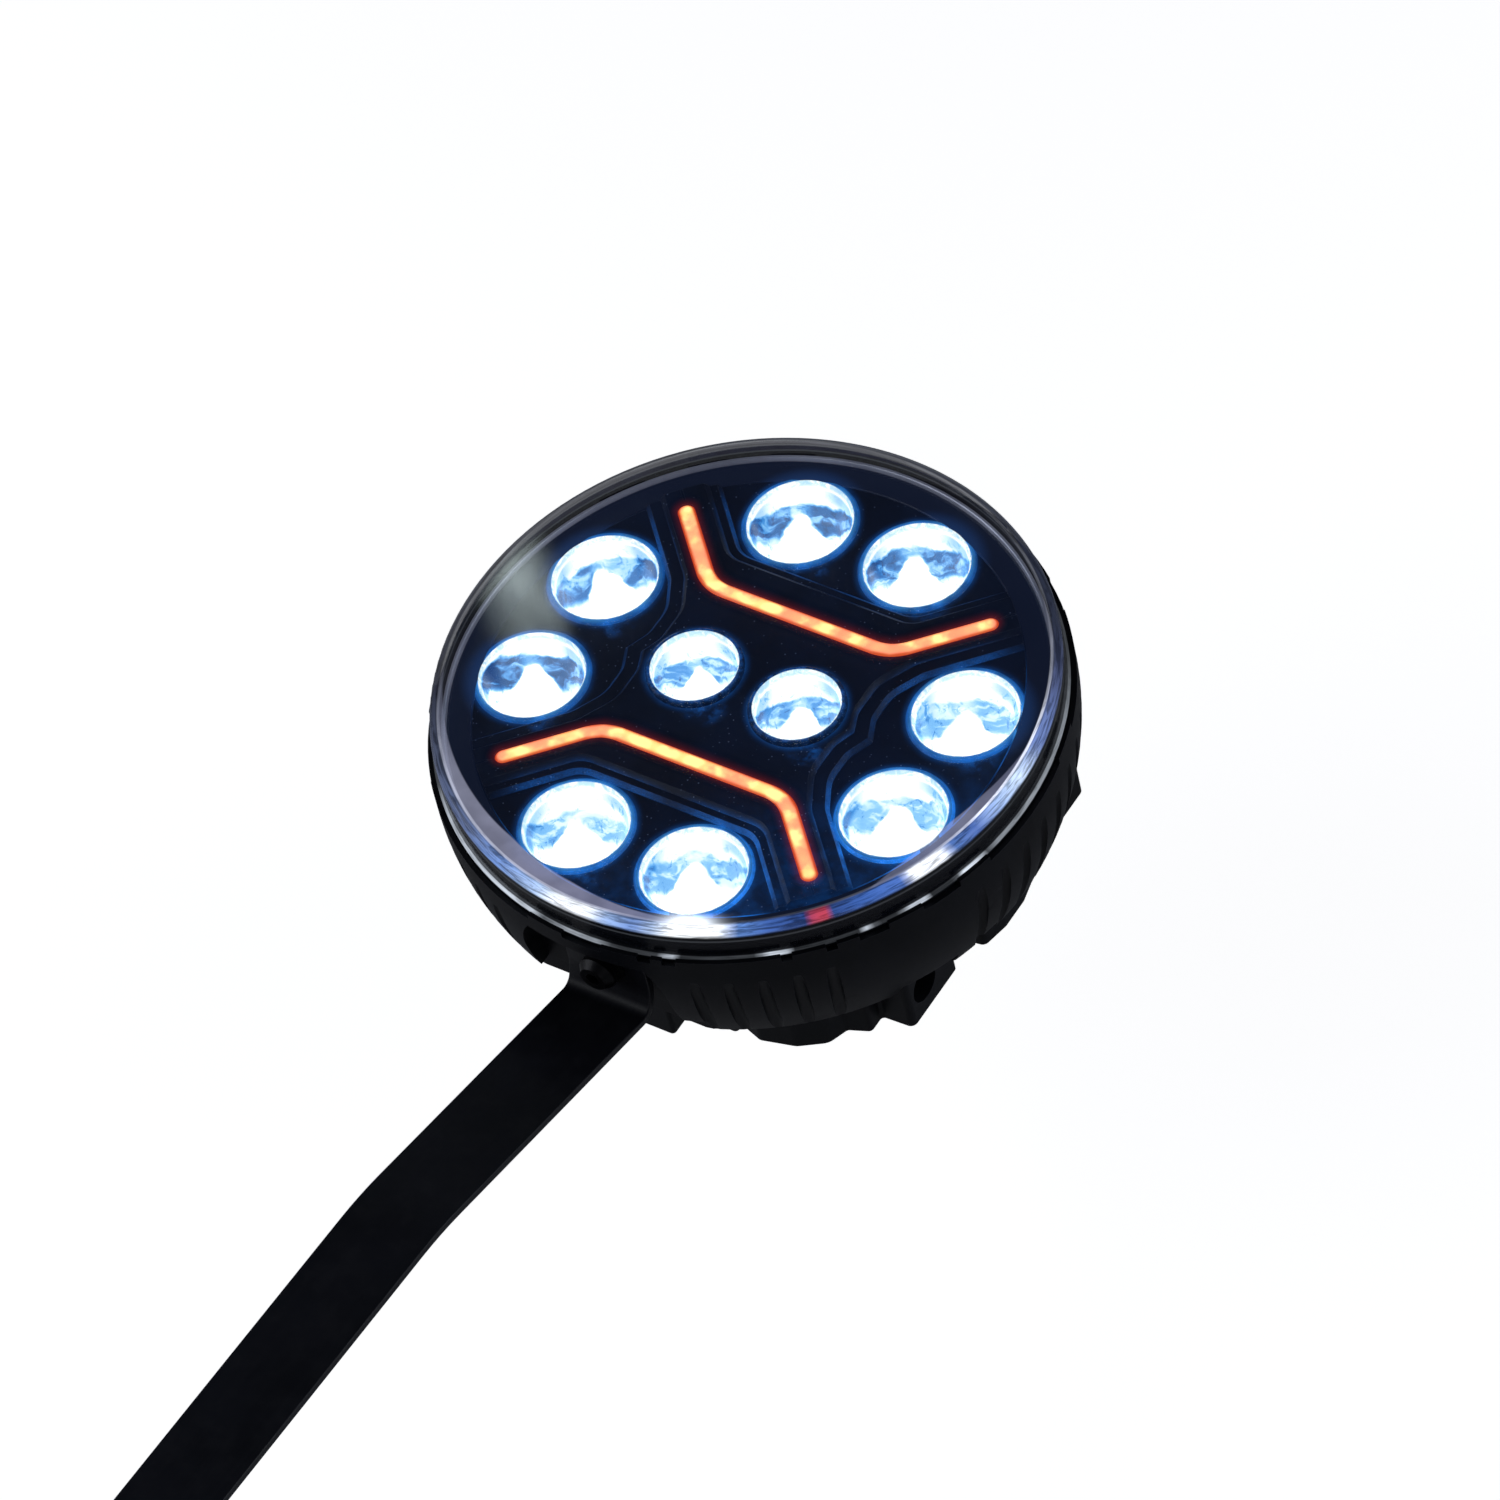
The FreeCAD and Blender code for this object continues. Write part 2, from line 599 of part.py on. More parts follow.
def make_lens_cover():
    inner_r = LENS_R - LENS_WALL
    inner_z = LENS_TOP_Z - LENS_WALL
    shoulder = Part.Arc(*quarter_arc_points(LENS_R, LENS_TOP_Z, LENS_EDGE_R)).toShape()
    inner_points = quarter_arc_points(inner_r, inner_z, LENS_INNER_EDGE_R)
    inner_shoulder = Part.Arc(*inner_points[::-1]).toShape()
    skirt = [(LENS_R, LENS_TOP_Z - LENS_EDGE_R), (LENS_R, LENS_FLANGE_TOP_Z),
             (LENS_FLANGE_R, LENS_FLANGE_TOP_Z), (LENS_FLANGE_R, LENS_FLANGE_BOTTOM_Z),
             (104.0, LENS_FLANGE_BOTTOM_Z), (104.0, -5.2), (inner_r, LENS_FLANGE_TOP_Z),
             (inner_r, inner_z - LENS_INNER_EDGE_R)]
    disc = [(inner_r - LENS_INNER_EDGE_R, inner_z), (0, inner_z), (0, LENS_TOP_Z),
            (LENS_R - LENS_EDGE_R, LENS_TOP_Z)]
    return turn([shoulder] + profile_lines(skirt) + [inner_shoulder] + profile_lines(disc))


# (r, z) section of the trim ring between face plate and lens
BEZEL_SECTION = [
    (96.6, FACE_STEP_Z), (96.6, -1.2), (96.9, -0.9), (104.4, -0.9), (105.2, -0.4), (105.5, 0.9),
    (105.8, 1.2), (106.5, 1.2), (106.8, 0.9), (106.8, -4.7), (105.4, -4.7), (105.4, FACE_STEP_Z)]

# ---------------------------------------------------------------- face plate
# (x, y, corner radius) of the two X shaped tiers, the quarter from +X round to +Y
UPPER_TIER_QUARTER = [
    (43.456, 0.0, 0.0), (40.352, 7.76, 9.0), (40.352, 21.34, 14.0), (47.724, 35.0752, 12.0),
    (89.628, 77.212, 0.0), (77.6, 90.016, 0.0), (36.86, 49.0432, 10.0)]
LOWER_TIER_QUARTER = [
    (50.44, 0.0, 0.0), (46.56, 8.924, 9.0), (46.4048, 20.176, 14.0), (52.6128, 31.816, 12.0),
    (93.12, 72.944, 0.0), (74.496, 93.12, 0.0), (35.0752, 52.9232, 10.0)]


def make_tier(quarter, top, chamfer):
    outline = mirror_quarter(quarter, ((1, 1), (-1, 1), (-1, -1), (1, -1)))
    return chamfer_level(outline_prism(outline, FACE_BACK_Z, top), top, chamfer)


def light_bar_cuts(side):
    """Sloped trough, bar seat and LED slot of one light bar."""
    trough = Part.makeLoft([bar_wire(BAR_HALF_W + 0.15, BAR_TOP_Z - 0.2, side),
                            bar_wire(TROUGH_HALF_W, PLATEAU_Z + 0.2, side)], True, True)
    return [trough,
            bar_prism(BAR_HALF_W + 0.05, BAR_BOTTOM_Z, 4.0, side),
            bar_prism(2.2, -12, -4, side)]


def seam_cuts():
    """Thin seams from the bar ends to the rim."""
    seams = []
    for angle in DIAGONALS:
        seam = box(90.2, 97, -0.35, 0.35, PLATEAU_Z - 0.6, PLATEAU_Z + 1)
        shift = -0.6 if angle in (45, 225) else 0.6
        seam.rotate(Vector(0, 0, 0), Vector(0, 0, 1), angle + shift)
        seams.append(seam)
    return seams


def make_face_plate():
    plate = cylinder(FACE_R, FACE_BACK_Z, FACE_TOP_Z)
    upper = make_tier(UPPER_TIER_QUARTER, PLATEAU_Z, 1.6)
    lower = make_tier(LOWER_TIER_QUARTER, LOWER_TIER_Z, 1.4)
    plate = plate.fuse(lower.fuse(upper).common(cylinder(FACE_STEP_R, -10, 10)))
    # collars round the outer reflectors
    for place in OUTER_CUPS:
        plate = plate.fuse(Part.makeCone(CUP_R + 2.6, CUP_R + 1.4, 1.2,
                                         Vector(place.x, place.y, FACE_TOP_Z - 0.2)))
    # channels under the plate that hold the light bars
    for side in (-1, 1):
        plate = plate.fuse(bar_prism(7.4, AMBER_BOARD_TOP_Z, -2.0, side))
    # screw ears
    for angle in DIAGONALS:
        place = polar(FACE_EAR_R, angle)
        ear = cylinder(5.6, LEDGE_Z, FACE_BACK_Z + 0.5, place.x, place.y)
        plate = plate.fuse(ear.common(cylinder(102.3, -20, 0)))

    cuts = [ring(FACE_STEP_R, 120, FACE_STEP_Z, 20)]
    # room for the amber LED boards
    cuts += [bar_prism(7.3, -13.0, AMBER_BOARD_TOP_Z, side) for side in (-1, 1)]
    cuts += cylinders_at(OUTER_CUPS, CUP_R + 0.5, -20, 20)
    cuts += cylinders_at(INNER_CUPS, INNER_CUP_R + 0.5, -20, 20)
    for side in (-1, 1):
        cuts += light_bar_cuts(side)
    for place in FACE_SCREWS:
        cuts.append(cylinder(1.7, -20, 5, place.x, place.y))
        cuts.append(cylinder(3.05, -5.2, 5, place.x, place.y))
    cuts += seam_cuts()
    for side in (1, -1):
        cuts += cylinders_at(AMBER_SCREWS[side], 0.85, -12, -3.6)
    return plate.cut(cuts).removeSplitter()


def make_face_screws():
    screw = cylinder(1.45, LEDGE_Z - 7.5, -4.8).fuse(
        Part.makeCone(2.9, 2.3, 2.1, Vector(0, 0, -5.2)))
    return compound_at(cross_slot(screw, 1.5, -4.0, -2), FACE_SCREWS)


# ---------------------------------------------------------------- reflectors
def make_reflector(rim_r, rim_z):
    """Parabolic shell from the LED board to the rim, with a flange under the face plate."""
    flange_r = rim_r + 2.2
    flange_top = FACE_BACK_Z
    flange_bottom = flange_top - 1.3
    neck_r = rim_r + 0.35
    base_z = BOARD_TOP_Z + 0.6
    four_focal = (rim_r ** 2 - CUP_BOTTOM_R ** 2) / (rim_z - base_z)
    intervals = 14
    inner, outer = [], []
    for k in range(intervals + 1):
        r = CUP_BOTTOM_R + (rim_r - CUP_BOTTOM_R) * k / intervals
        z = base_z + (r * r - CUP_BOTTOM_R ** 2) / four_focal
        slope = math.atan2(2 * r / four_focal, 1.0)
        inner.append(Vector(r, 0, z))
        outer.append(Vector(r + CUP_WALL * math.sin(slope), 0, z - CUP_WALL * math.cos(slope)))
    # the outside ends below the flange
    outer = [point for point in outer if point.z < flange_bottom - 2.0]
    inner_curve = Part.BSplineCurve()
    inner_curve.interpolate(inner)
    outer_curve = Part.BSplineCurve()
    outer_curve.interpolate(outer)
    outer_end = outer[-1]
    rim_and_flange = [(rim_r, rim_z), (neck_r, rim_z), (neck_r, flange_top),
                      (flange_r, flange_top), (flange_r, flange_bottom),
                      (max(outer_end.x + 0.5, rim_r - 1.5), flange_bottom),
                      (outer_end.x, outer_end.z)]
    edges = [inner_curve.toShape()] + profile_lines(rim_and_flange) + [outer_curve.toShape()]
    # carry the outside down to the board where it ends above it
    foot = outer[0]
    if foot.z > BOARD_TOP_Z + 1e-6:
        foot = Vector(foot.x, 0, BOARD_TOP_Z)
        edges.append(Part.makeLine(outer[0], foot))
    edges.append(Part.makeLine(foot, Vector(CUP_BOTTOM_R, 0, foot.z)))
    edges.append(Part.makeLine(Vector(CUP_BOTTOM_R, 0, foot.z), inner[0]))
    cup = turn(Part.__sortEdges__(edges))
    return cup.common(cylinder(60, BOARD_TOP_Z, 20)).Solids[0]


def make_inner_collar():
    return turn_polygon([(INNER_CUP_R + 0.4, PLATEAU_Z), (INNER_CUP_R + 0.4, INNER_RIM_Z - 0.2),
                         (INNER_CUP_R + 1.2, INNER_RIM_Z), (INNER_CUP_R + 1.9, INNER_RIM_Z - 0.4),
                         (INNER_CUP_R + 2.1, PLATEAU_Z)])


# ---------------------------------------------------------------- amber light bars
def make_light_bar(side):
    bar = bar_prism(BAR_HALF_W, BAR_BOTTOM_Z, BAR_TOP_Z, side)
    return chamfer_level(bar, BAR_TOP_Z, 0.8)


def make_amber_board(side):
    board = bar_prism(7.0, AMBER_BOARD_BOTTOM_Z, AMBER_BOARD_TOP_Z, side)
    return board.cut(cylinders_at(AMBER_SCREWS[side], 0.95, -12, -5))


def make_amber_leds(side):
    leds = []
    body_top = AMBER_BOARD_TOP_Z + 0.8
    for x, y, angle in bar_stations(13, side):
        led = box(-1.4, 1.4, -1.4, 1.4, AMBER_BOARD_TOP_Z, body_top).fuse(
            cylinder(1.0, body_top, body_top + 0.15))
        led.rotate(Vector(0, 0, 0), Vector(0, 0, 1), angle)
        led.translate(Vector(x, y, 0))
        leds.append(led)
    return Part.makeCompound(leds)


def make_amber_screws():
    screw = cylinder(0.8, -9.4, -4.2).fuse(cylinder(1.7, -10.3, AMBER_BOARD_BOTTOM_Z))
    return compound_at(screw, AMBER_SCREWS[-1] + AMBER_SCREWS[1])


# ---------------------------------------------------------------- main LED board
def make_board_layer(radius, bottom, top, screw_hole_r):
    """Disc with a notch at the pivot boss, the wire passage and screw holes."""
    return cylinder(radius, bottom, top).cut(
        [box(-13, 13, -100, -83.0, -40, -20), cylinder(5.6, -40, -20, 0, WIRE_HOLE_Y)]
        + cylinders_at(BOARD_SCREWS, screw_hole_r, -40, -20))


def make_emitter():
    body = box(-3.4, 3.4, -3.4, 3.4, BOARD_TOP_Z, BOARD_TOP_Z + 1.0)
    dome = Part.makeSphere(2.6, Vector(0, 0, BOARD_TOP_Z + 0.6)).common(
        box(-4, 4, -4, 4, BOARD_TOP_Z + 0.9, BOARD_TOP_Z + 5))
    return body.fuse(dome)


def make_board_screws():
    screw = cylinder(1.45, -40.0, BOARD_TOP_Z + 0.5).fuse(
        cylinder(2.8, BOARD_TOP_Z, BOARD_TOP_Z + 1.9))
    return compound_at(cross_slot(screw, 1.8, BOARD_TOP_Z + 1.0, BOARD_TOP_Z + 3), BOARD_SCREWS)


# ---------------------------------------------------------------- driver compartment
def make_driver_board():
    board = box(-30, 30, -25, 25, DRIVER_BOTTOM_Z, DRIVER_TOP_Z)
    board = board.common(cylinder(40.5, -50, -40))
    return board.cut(cylinders_at(DRIVER_SCREWS, 1.5, -50, -40))


def make_driver_screws():
    screw = cylinder(1.2, -49.0, -41.0).fuse(cylinder(2.4, -49.4, DRIVER_BOTTOM_Z))
    return compound_at(screw, DRIVER_SCREWS)


def make_driver_chips():
    return Part.makeCompound([box(2, 9, -14, -8, -49.2, DRIVER_BOTTOM_Z),
                              box(13, 22, -9, 0, -50.0, DRIVER_BOTTOM_Z),
                              box(-6, -1, 8, 14, -49.0, DRIVER_BOTTOM_Z)])


# ---------------------------------------------------------------- rear cover
def make_rear_cover():
    """Round cover with a hollow hump for the cable entry."""
    cover = cylinder(COVER_R, COVER_FACE_Z, COVER_SEAT_Z)
    hump_z = -90.0
    hump = box(-15, 15, 2, 38, hump_z, -72.0)
    hump = hump.makeFillet(5.0, [e for e in hump.Edges if e.BoundBox.ZLength > 10])
    low_edges = [e for e in hump.Edges if abs(e.BoundBox.ZMax - hump_z) < 1e-4]
    cover = cover.fuse(ease_edges(hump, "makeFillet", 2.0, low_edges))
    cover = cover.cut([box(-11.5, 11.5, 6, 34.5, -86.5, -69.0),
                       cylinder_y(6.0, 30, 45, 0, GLAND_Z),
                       cylinder(5.0, -75, -68, VENT_X, VENT_Y)]
                      + cylinders_at(COVER_SCREWS, 2.2, -80, -60))
    return cover.removeSplitter()


def make_cover_screws():
    screw = cylinder(1.95, COVER_FACE_Z - 0.5, -60.0).fuse(
        cylinder(3.4, COVER_FACE_Z - 2.6, COVER_FACE_Z))
    return compound_at(screw.cut(cylinder(1.6, -77, -74.2)), COVER_SCREWS)


def make_breather_vent():
    vent = cylinder(4.9, -73.5, -68.5, VENT_X, VENT_Y).fuse(
        cylinder(7.0, -76.5, COVER_FACE_Z, VENT_X, VENT_Y))
    vent = vent.cut([box(VENT_X - 8, VENT_X + 8, VENT_Y - 0.6, VENT_Y + 0.6, -77, -75.6)])
    return vent.cut([cylinder(1.2, -75.0, -60, VENT_X, VENT_Y)])


# ---------------------------------------------------------------- cable gland, cable and plug
def gland_cylinder(radius, y_min, y_max):
    return cylinder_y(radius, y_min, y_max, 0, GLAND_Z)


def make_gland_body():
    body = hexagon_prism(GLAND_HEX_R, 38.0, 43.0, GLAND_Z)
    body = body.fuse(gland_cylinder(5.95, 33.0, 38.5)).fuse(gland_cylinder(6.6, 42.5, 47.0))
    return body.cut(gland_cylinder(4.6, 30, 60))


def make_gland_nut():
    nut = hexagon_prism(GLAND_HEX_R, 43.2, 50.0, GLAND_Z).fuse(
        Part.makeCone(7.3, 5.6, 4.0, Vector(0, 50.0, GLAND_Z), Vector(0, 1, 0)))
    return nut.cut([gland_cylinder(6.65, 43.0, 48.0), gland_cylinder(CABLE_R + 0.1, 40, 60)])


def make_power_cable():
    """U-shaped run from the gland to the plug, level with the gland."""
    radius = CABLE_BEND_R
    diagonal = radius * COS_45
    cross_x = -radius - CABLE_CROSS_RUN      # where the second bend starts

    def point(x, y):
        return Vector(x, y, GLAND_Z)

    bend_1 = [point(0, CABLE_BEND_Y), point(-radius + diagonal, CABLE_BEND_Y + diagonal),
              point(-radius, CABLE_BEND_Y + radius)]
    bend_2 = [point(cross_x, CABLE_BEND_Y + radius),
              point(cross_x - diagonal, CABLE_BEND_Y + diagonal), point(PLUG_X, CABLE_BEND_Y)]
    path = Part.Wire([Part.makeLine(point(0, 30), bend_1[0]),
                      Part.Arc(*bend_1).toShape(),
                      Part.makeLine(bend_1[2], bend_2[0]),
                      Part.Arc(*bend_2).toShape(),
                      Part.makeLine(bend_2[2], point(PLUG_X, 34))])
    return sweep_round(path, CABLE_R, point(0, 30), Vector(0, 1, 0))


def plug_box(half_w, y_min, y_max, half_h):
    return box(PLUG_X - half_w, PLUG_X + half_w, y_min, y_max,
               GLAND_Z - half_h, GLAND_Z + half_h)


def plug_pin_cylinders(y_min, y_max):
    return [cylinder_y(0.9, y_min, y_max, PLUG_X + x, GLAND_Z) for x in (-2.0, 0.0, 2.0)]


def make_plug_shell():
    shell = plug_box(11, 2, 28, 7)
    shell = shell.makeFillet(2.0, [e for e in shell.Edges if e.BoundBox.YLength > 20])
    shell = shell.fuse(cylinder_y(6.2, 27, 36, PLUG_X, GLAND_Z))
    shell = shell.fuse(box(PLUG_X - 4, PLUG_X + 4, 6, 22, GLAND_Z + 6.5, GLAND_Z + 9))
    shell = shell.cut([plug_box(8.5, 0, 14, 4.5),
                       cylinder_y(CABLE_R, 26, 40, PLUG_X, GLAND_Z),
                       cylinder_y(3.0, 13, 30, PLUG_X, GLAND_Z)])
    return shell.removeSplitter()


# ---------------------------------------------------------------- wires inside, grommet
WIRE_GAP = 0.05            # between a wire's end and the board it meets
LED_WIRE_END_Z = BOARD_TOP_Z + 0.02


def make_grommet():
    return ring(2.6, 4.95, -39.0, -31.5, 0, WIRE_HOLE_Y).fuse(
        ring(2.6, 6.5, -40.0, -38.0, 0, WIRE_HOLE_Y))


def make_supply_wires():
    """Three wires from the cable's end to the driver board."""
    # x at the cable, y and z of the climb, then x, y and z of the run to the board
    routes = [(-2.6, 24, -60, -10, 20, -54),
              (0.0, 21, -60, 0.0, 17.5, -54),
              (2.6, 26, -64, 24.5, 10, -60)]
    return Part.makeCompound([
        wire_run([(x, 29.8, GLAND_Z), (x, climb_y, GLAND_Z), (x, climb_y, climb_z),
                  (end_x, end_y, turn_z), (end_x, end_y, DRIVER_BOTTOM_Z - WIRE_GAP)], 0.8)
        for x, climb_y, climb_z, end_x, end_y, turn_z in routes])


def make_led_wires():
    """Two wires from the driver board through the passage to the LED board."""
    # x, y at the driver board, height of the run, y at the LED board
    routes = [(-1.2, 23.0, -28.0, 33.0), (1.2, 21.0, -26.0, 38.0)]
    return Part.makeCompound([
        wire_run([(x, y, DRIVER_TOP_Z + WIRE_GAP), (x, y, run_z), (x, end_y, run_z),
                  (x, end_y, LED_WIRE_END_Z)], 0.7)
        for x, y, run_z, end_y in routes])


def make_amber_wires():
    """Two wires from each amber board down to the LED board."""
    return Part.makeCompound([
        wire_run([(x, side * 34.0, AMBER_BOARD_BOTTOM_Z - WIRE_GAP), (x, side * 34.0, -16),
                  (x, side * 30, -22), (x, side * 30, LED_WIRE_END_Z)], 0.6)
        for side in (1, -1) for x in (8.0, 10.5)])


# ---------------------------------------------------------------- all pieces
def numbered(name, shape, places):
    """One piece per place, numbered from 1."""
    return {"%s_%d" % (name, i): copy for i, copy in enumerate(copies(shape, places), 1)}


def build_pieces():
    pieces = {
        "mounting_arm": make_arm(),
        "pivot_friction_washer": pivot_ring(13.5, 6.1, PIVOT_FACE_Y - FRICTION_WASHER_T,
                                            PIVOT_FACE_Y),
        "pivot_bushing": pivot_ring(6.0, PIVOT_BOLT_R + 0.02, BUSHING_Y, PIVOT_FACE_Y),
        "pivot_washer": pivot_ring(8.0, PIVOT_BOLT_R + 0.1, WASHER_Y, BUSHING_Y),
        "pivot_spring_washer": make_spring_washer(),
        "pivot_bolt": make_pivot_bolt(),
        "housing": make_housing(),
        "lens_cover": make_lens_cover(),
        "lens_gasket": ring(104.6, 109.6, RIM_SEAT_Z, LENS_FLANGE_BOTTOM_Z),
        "bezel_ring": turn_polygon(BEZEL_SECTION),
        "face_plate": make_face_plate(),
        "face_plate_screws": make_face_screws(),
        "amber_board_screws": make_amber_screws(),
        "thermal_pad": make_board_layer(89.0, CAVITY_FLOOR_Z, BOARD_BOTTOM_Z, 2.4),
        "led_board": make_board_layer(90.0, BOARD_BOTTOM_Z, BOARD_TOP_Z, 1.7),
        "outer_leds": compound_at(make_emitter(), OUTER_CUPS),
        "inner_leds": compound_at(make_emitter(), INNER_CUPS),
        "led_board_screws": make_board_screws(),
        "driver_board": make_driver_board(),
        "driver_screws": make_driver_screws(),
        "driver_inductor": ring(4.0, 8.0, -54.6, DRIVER_BOTTOM_Z, -12, -6),
        "driver_capacitors": Part.makeCompound(
            [cylinder(4.0, -58.6, DRIVER_BOTTOM_Z, x, 12) for x in (7, 16.5)]),
        "driver_chips": make_driver_chips(),
        "rear_cover": make_rear_cover(),
        "rear_cover_gasket": ring(43.6, 46.4, COVER_SEAT_Z, GASKET_GROOVE_Z),
        "rear_cover_screws": make_cover_screws(),
        "breather_vent": make_breather_vent(),
        "cable_gland_body": make_gland_body(),
        "cable_gland_nut": make_gland_nut(),
        "cable_gland_seal": gland_cylinder(4.55, 34.0, 47.6).cut(gland_cylinder(CABLE_R, 30, 60)),
        "power_cable": make_power_cable(),
        "plug_shell": make_plug_shell(),
        "plug_pins": Part.makeCompound(plug_pin_cylinders(5.0, 17.0)),
        "plug_insert": plug_box(8.5, 10.0, 14.0, 4.5).cut(plug_pin_cylinders(5, 20)),
        "wire_grommet": make_grommet(),
        "supply_wires": make_supply_wires(),
        "led_wires": make_led_wires(),
        "amber_wires": make_amber_wires(),
    }
    pieces.update(numbered("outer_reflector", make_reflector(CUP_R, 0.0), OUTER_CUPS))
    pieces.update(numbered("inner_reflector", make_reflector(INNER_CUP_R, INNER_RIM_Z),
                           INNER_CUPS))
    pieces.update(numbered("inner_collar", make_inner_collar(), INNER_CUPS))
    for side, name in ((1, "upper"), (-1, "lower")):
        pieces["amber_light_bar_" + name] = make_light_bar(side)
        pieces["amber_led_board_" + name] = make_amber_board(side)
        pieces["amber_leds_" + name] = make_amber_leds(side)
    return pieces


os.makedirs("parts", exist_ok=True)
for name, shape in build_pieces().items():
    placed = shape.copy()
    placed.translate(FOOT_CENTRE * -1)
    placed.exportStep("parts/" + name + ".step")
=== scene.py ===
"""A round LED lamp with ten reflector cups, two amber light bars, a clear cover and a mounting arm.

The CAD pieces lie in the row frame in metres. The lamp's own frame is in millimetres: its axis is +Z,
its origin lies on that axis, and z = 0 is at the outer reflectors' rims. The cups open towards +Z.
"""
import math
from functools import reduce

import bpy
import bmesh
from mathutils import Matrix, Vector


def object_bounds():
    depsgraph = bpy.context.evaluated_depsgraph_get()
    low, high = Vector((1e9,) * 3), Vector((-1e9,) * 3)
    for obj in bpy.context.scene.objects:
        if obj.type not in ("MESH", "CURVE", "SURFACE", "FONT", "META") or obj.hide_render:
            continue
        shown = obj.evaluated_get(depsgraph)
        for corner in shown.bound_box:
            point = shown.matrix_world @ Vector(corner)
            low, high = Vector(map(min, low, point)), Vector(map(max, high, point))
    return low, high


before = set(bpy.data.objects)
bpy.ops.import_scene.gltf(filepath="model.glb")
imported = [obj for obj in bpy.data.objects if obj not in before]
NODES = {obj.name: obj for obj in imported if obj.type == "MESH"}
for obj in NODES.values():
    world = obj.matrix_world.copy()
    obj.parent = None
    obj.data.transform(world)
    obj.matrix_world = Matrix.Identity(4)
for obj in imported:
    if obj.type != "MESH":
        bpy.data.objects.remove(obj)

CAD_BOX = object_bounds()

# ------------------------------------------------------------------ dimensions, mm
LAMP = Vector((0.0, 440.0, 8.0))        # the lamp frame's origin in the row frame
OUTER_RING_RADIUS = 77.6                # where the outer cups' centres lie
OUTER_CUP_RADIUS = 18.6
OUTER_CUP_SPREAD = 18                   # degrees each cup of a pair lies from the pair's middle
INNER_CUP_X = 20.9
INNER_CUP_RADIUS = 15.3
INNER_RIM_Z = 5.0
OUTER_CENTRES = [
    (OUTER_RING_RADIUS * math.cos(math.radians(middle + side * OUTER_CUP_SPREAD)),
     OUTER_RING_RADIUS * math.sin(math.radians(middle + side * OUTER_CUP_SPREAD)))
    for middle in (0, 90, 180, 270) for side in (-1, 1)]
INNER_CENTRES = [(INNER_CUP_X, 0.0), (-INNER_CUP_X, 0.0)]
# x, y along the centre line of one quarter of the bars; the rest is mirrored in x and y
BAR_PATH = [(0.0, 34.8), (30.37, 34.8), (36.49, 36.02), (41.69, 39.49), (62.2, 60.0)]
AMBER_SPOT_PITCH = 10.9                 # between the bright spots along a bar
FLOOR_DROP = 0.095                      # m below the CAD, clear of the head at both ends of its tilt

# ------------------------------------------------------------------ camera
CAMERA_PLACE = (1.6453598444388748, -1.355595185554158, 2.850641880701406)
CAMERA_TURN = ((0.83979264551635, -0.3211487329888648, 0.4377348556332893),
               (0.5195142382775642, 0.709488972861103, -0.4761621085464268),
               (-0.15764919525177434, 0.627286926922715, 0.7626649608762187))
CAMERA_RIGHT, CAMERA_UP, CAMERA_BACK = (Vector(axis) for axis in zip(*CAMERA_TURN))
PLAN_LENGTH = 0.65                      # rounded length of CAMERA_BACK in plan
FRONT_X, FRONT_Y = CAMERA_BACK.x / PLAN_LENGTH, CAMERA_BACK.y / PLAN_LENGTH
FRONT = Vector((CAMERA_BACK.x, CAMERA_BACK.y, 0.0)).normalized()        # towards the camera, in plan
SIDE = Vector((-FRONT.y, FRONT.x, 0.0))                                 # to the camera's right, in plan
VIEW_SLOPE = CAMERA_BACK.z / math.hypot(CAMERA_BACK.x, CAMERA_BACK.y)

scene = bpy.context.scene


def row_point(x, y, z):
    """A point of the lamp's frame (mm) in the row frame (m)."""
    return Vector(((x + LAMP.x) / 1000, (y + LAMP.y) / 1000, (z + LAMP.z) / 1000))


def add_camera():
    data = bpy.data.cameras.new("camera")
    data.sensor_width = 36.0
    data.lens = 261.85546671633024
    data.clip_start, data.clip_end = 0.05, 50.0
    camera = bpy.data.objects.new("camera", data)
    scene.collection.objects.link(camera)
    camera.matrix_world = Matrix.Translation(CAMERA_PLACE) @ Matrix(CAMERA_TURN).to_4x4()
    scene.camera = camera


add_camera()
scene.view_settings.view_transform = "Standard"
scene.view_settings.look = "None"


# ------------------------------------------------------------------ node helpers
def math_method(operation, swapped=False):
    def method(self, other=0.0):
        first, second = (other, self) if swapped else (self, other)
        return self.tree.math(operation, first, second)
    return method


class Number:
    """A number worked out by nodes. Arithmetic on it adds Math nodes."""

    def __init__(self, tree, socket):
        self.tree, self.socket = tree, socket

    __add__, __radd__ = math_method("ADD"), math_method("ADD", swapped=True)
    __sub__, __rsub__ = math_method("SUBTRACT"), math_method("SUBTRACT", swapped=True)
    __mul__, __rmul__ = math_method("MULTIPLY"), math_method("MULTIPLY", swapped=True)
    __truediv__ = math_method("DIVIDE")
    __pow__ = math_method("POWER")
    __abs__ = math_method("ABSOLUTE")
    minimum = math_method("MINIMUM")
    maximum = math_method("MAXIMUM")
    cosine = math_method("COSINE")
    sine = math_method("SINE")
    arctan2 = math_method("ARCTAN2")
    exponential = math_method("EXPONENT")

    def fade(self, start, end, to=(0.0, 1.0), kind="SMOOTHSTEP"):
        """to[0] at start and before it, to[1] at end and beyond; start may be above end."""
        node = self.tree.node(
            "ShaderNodeMapRange",
            {"Value": self, "From Min": start, "From Max": end, "To Min": to[0], "To Max": to[1]},
            interpolation_type=kind)
        return Number(self.tree, node.outputs["Result"])


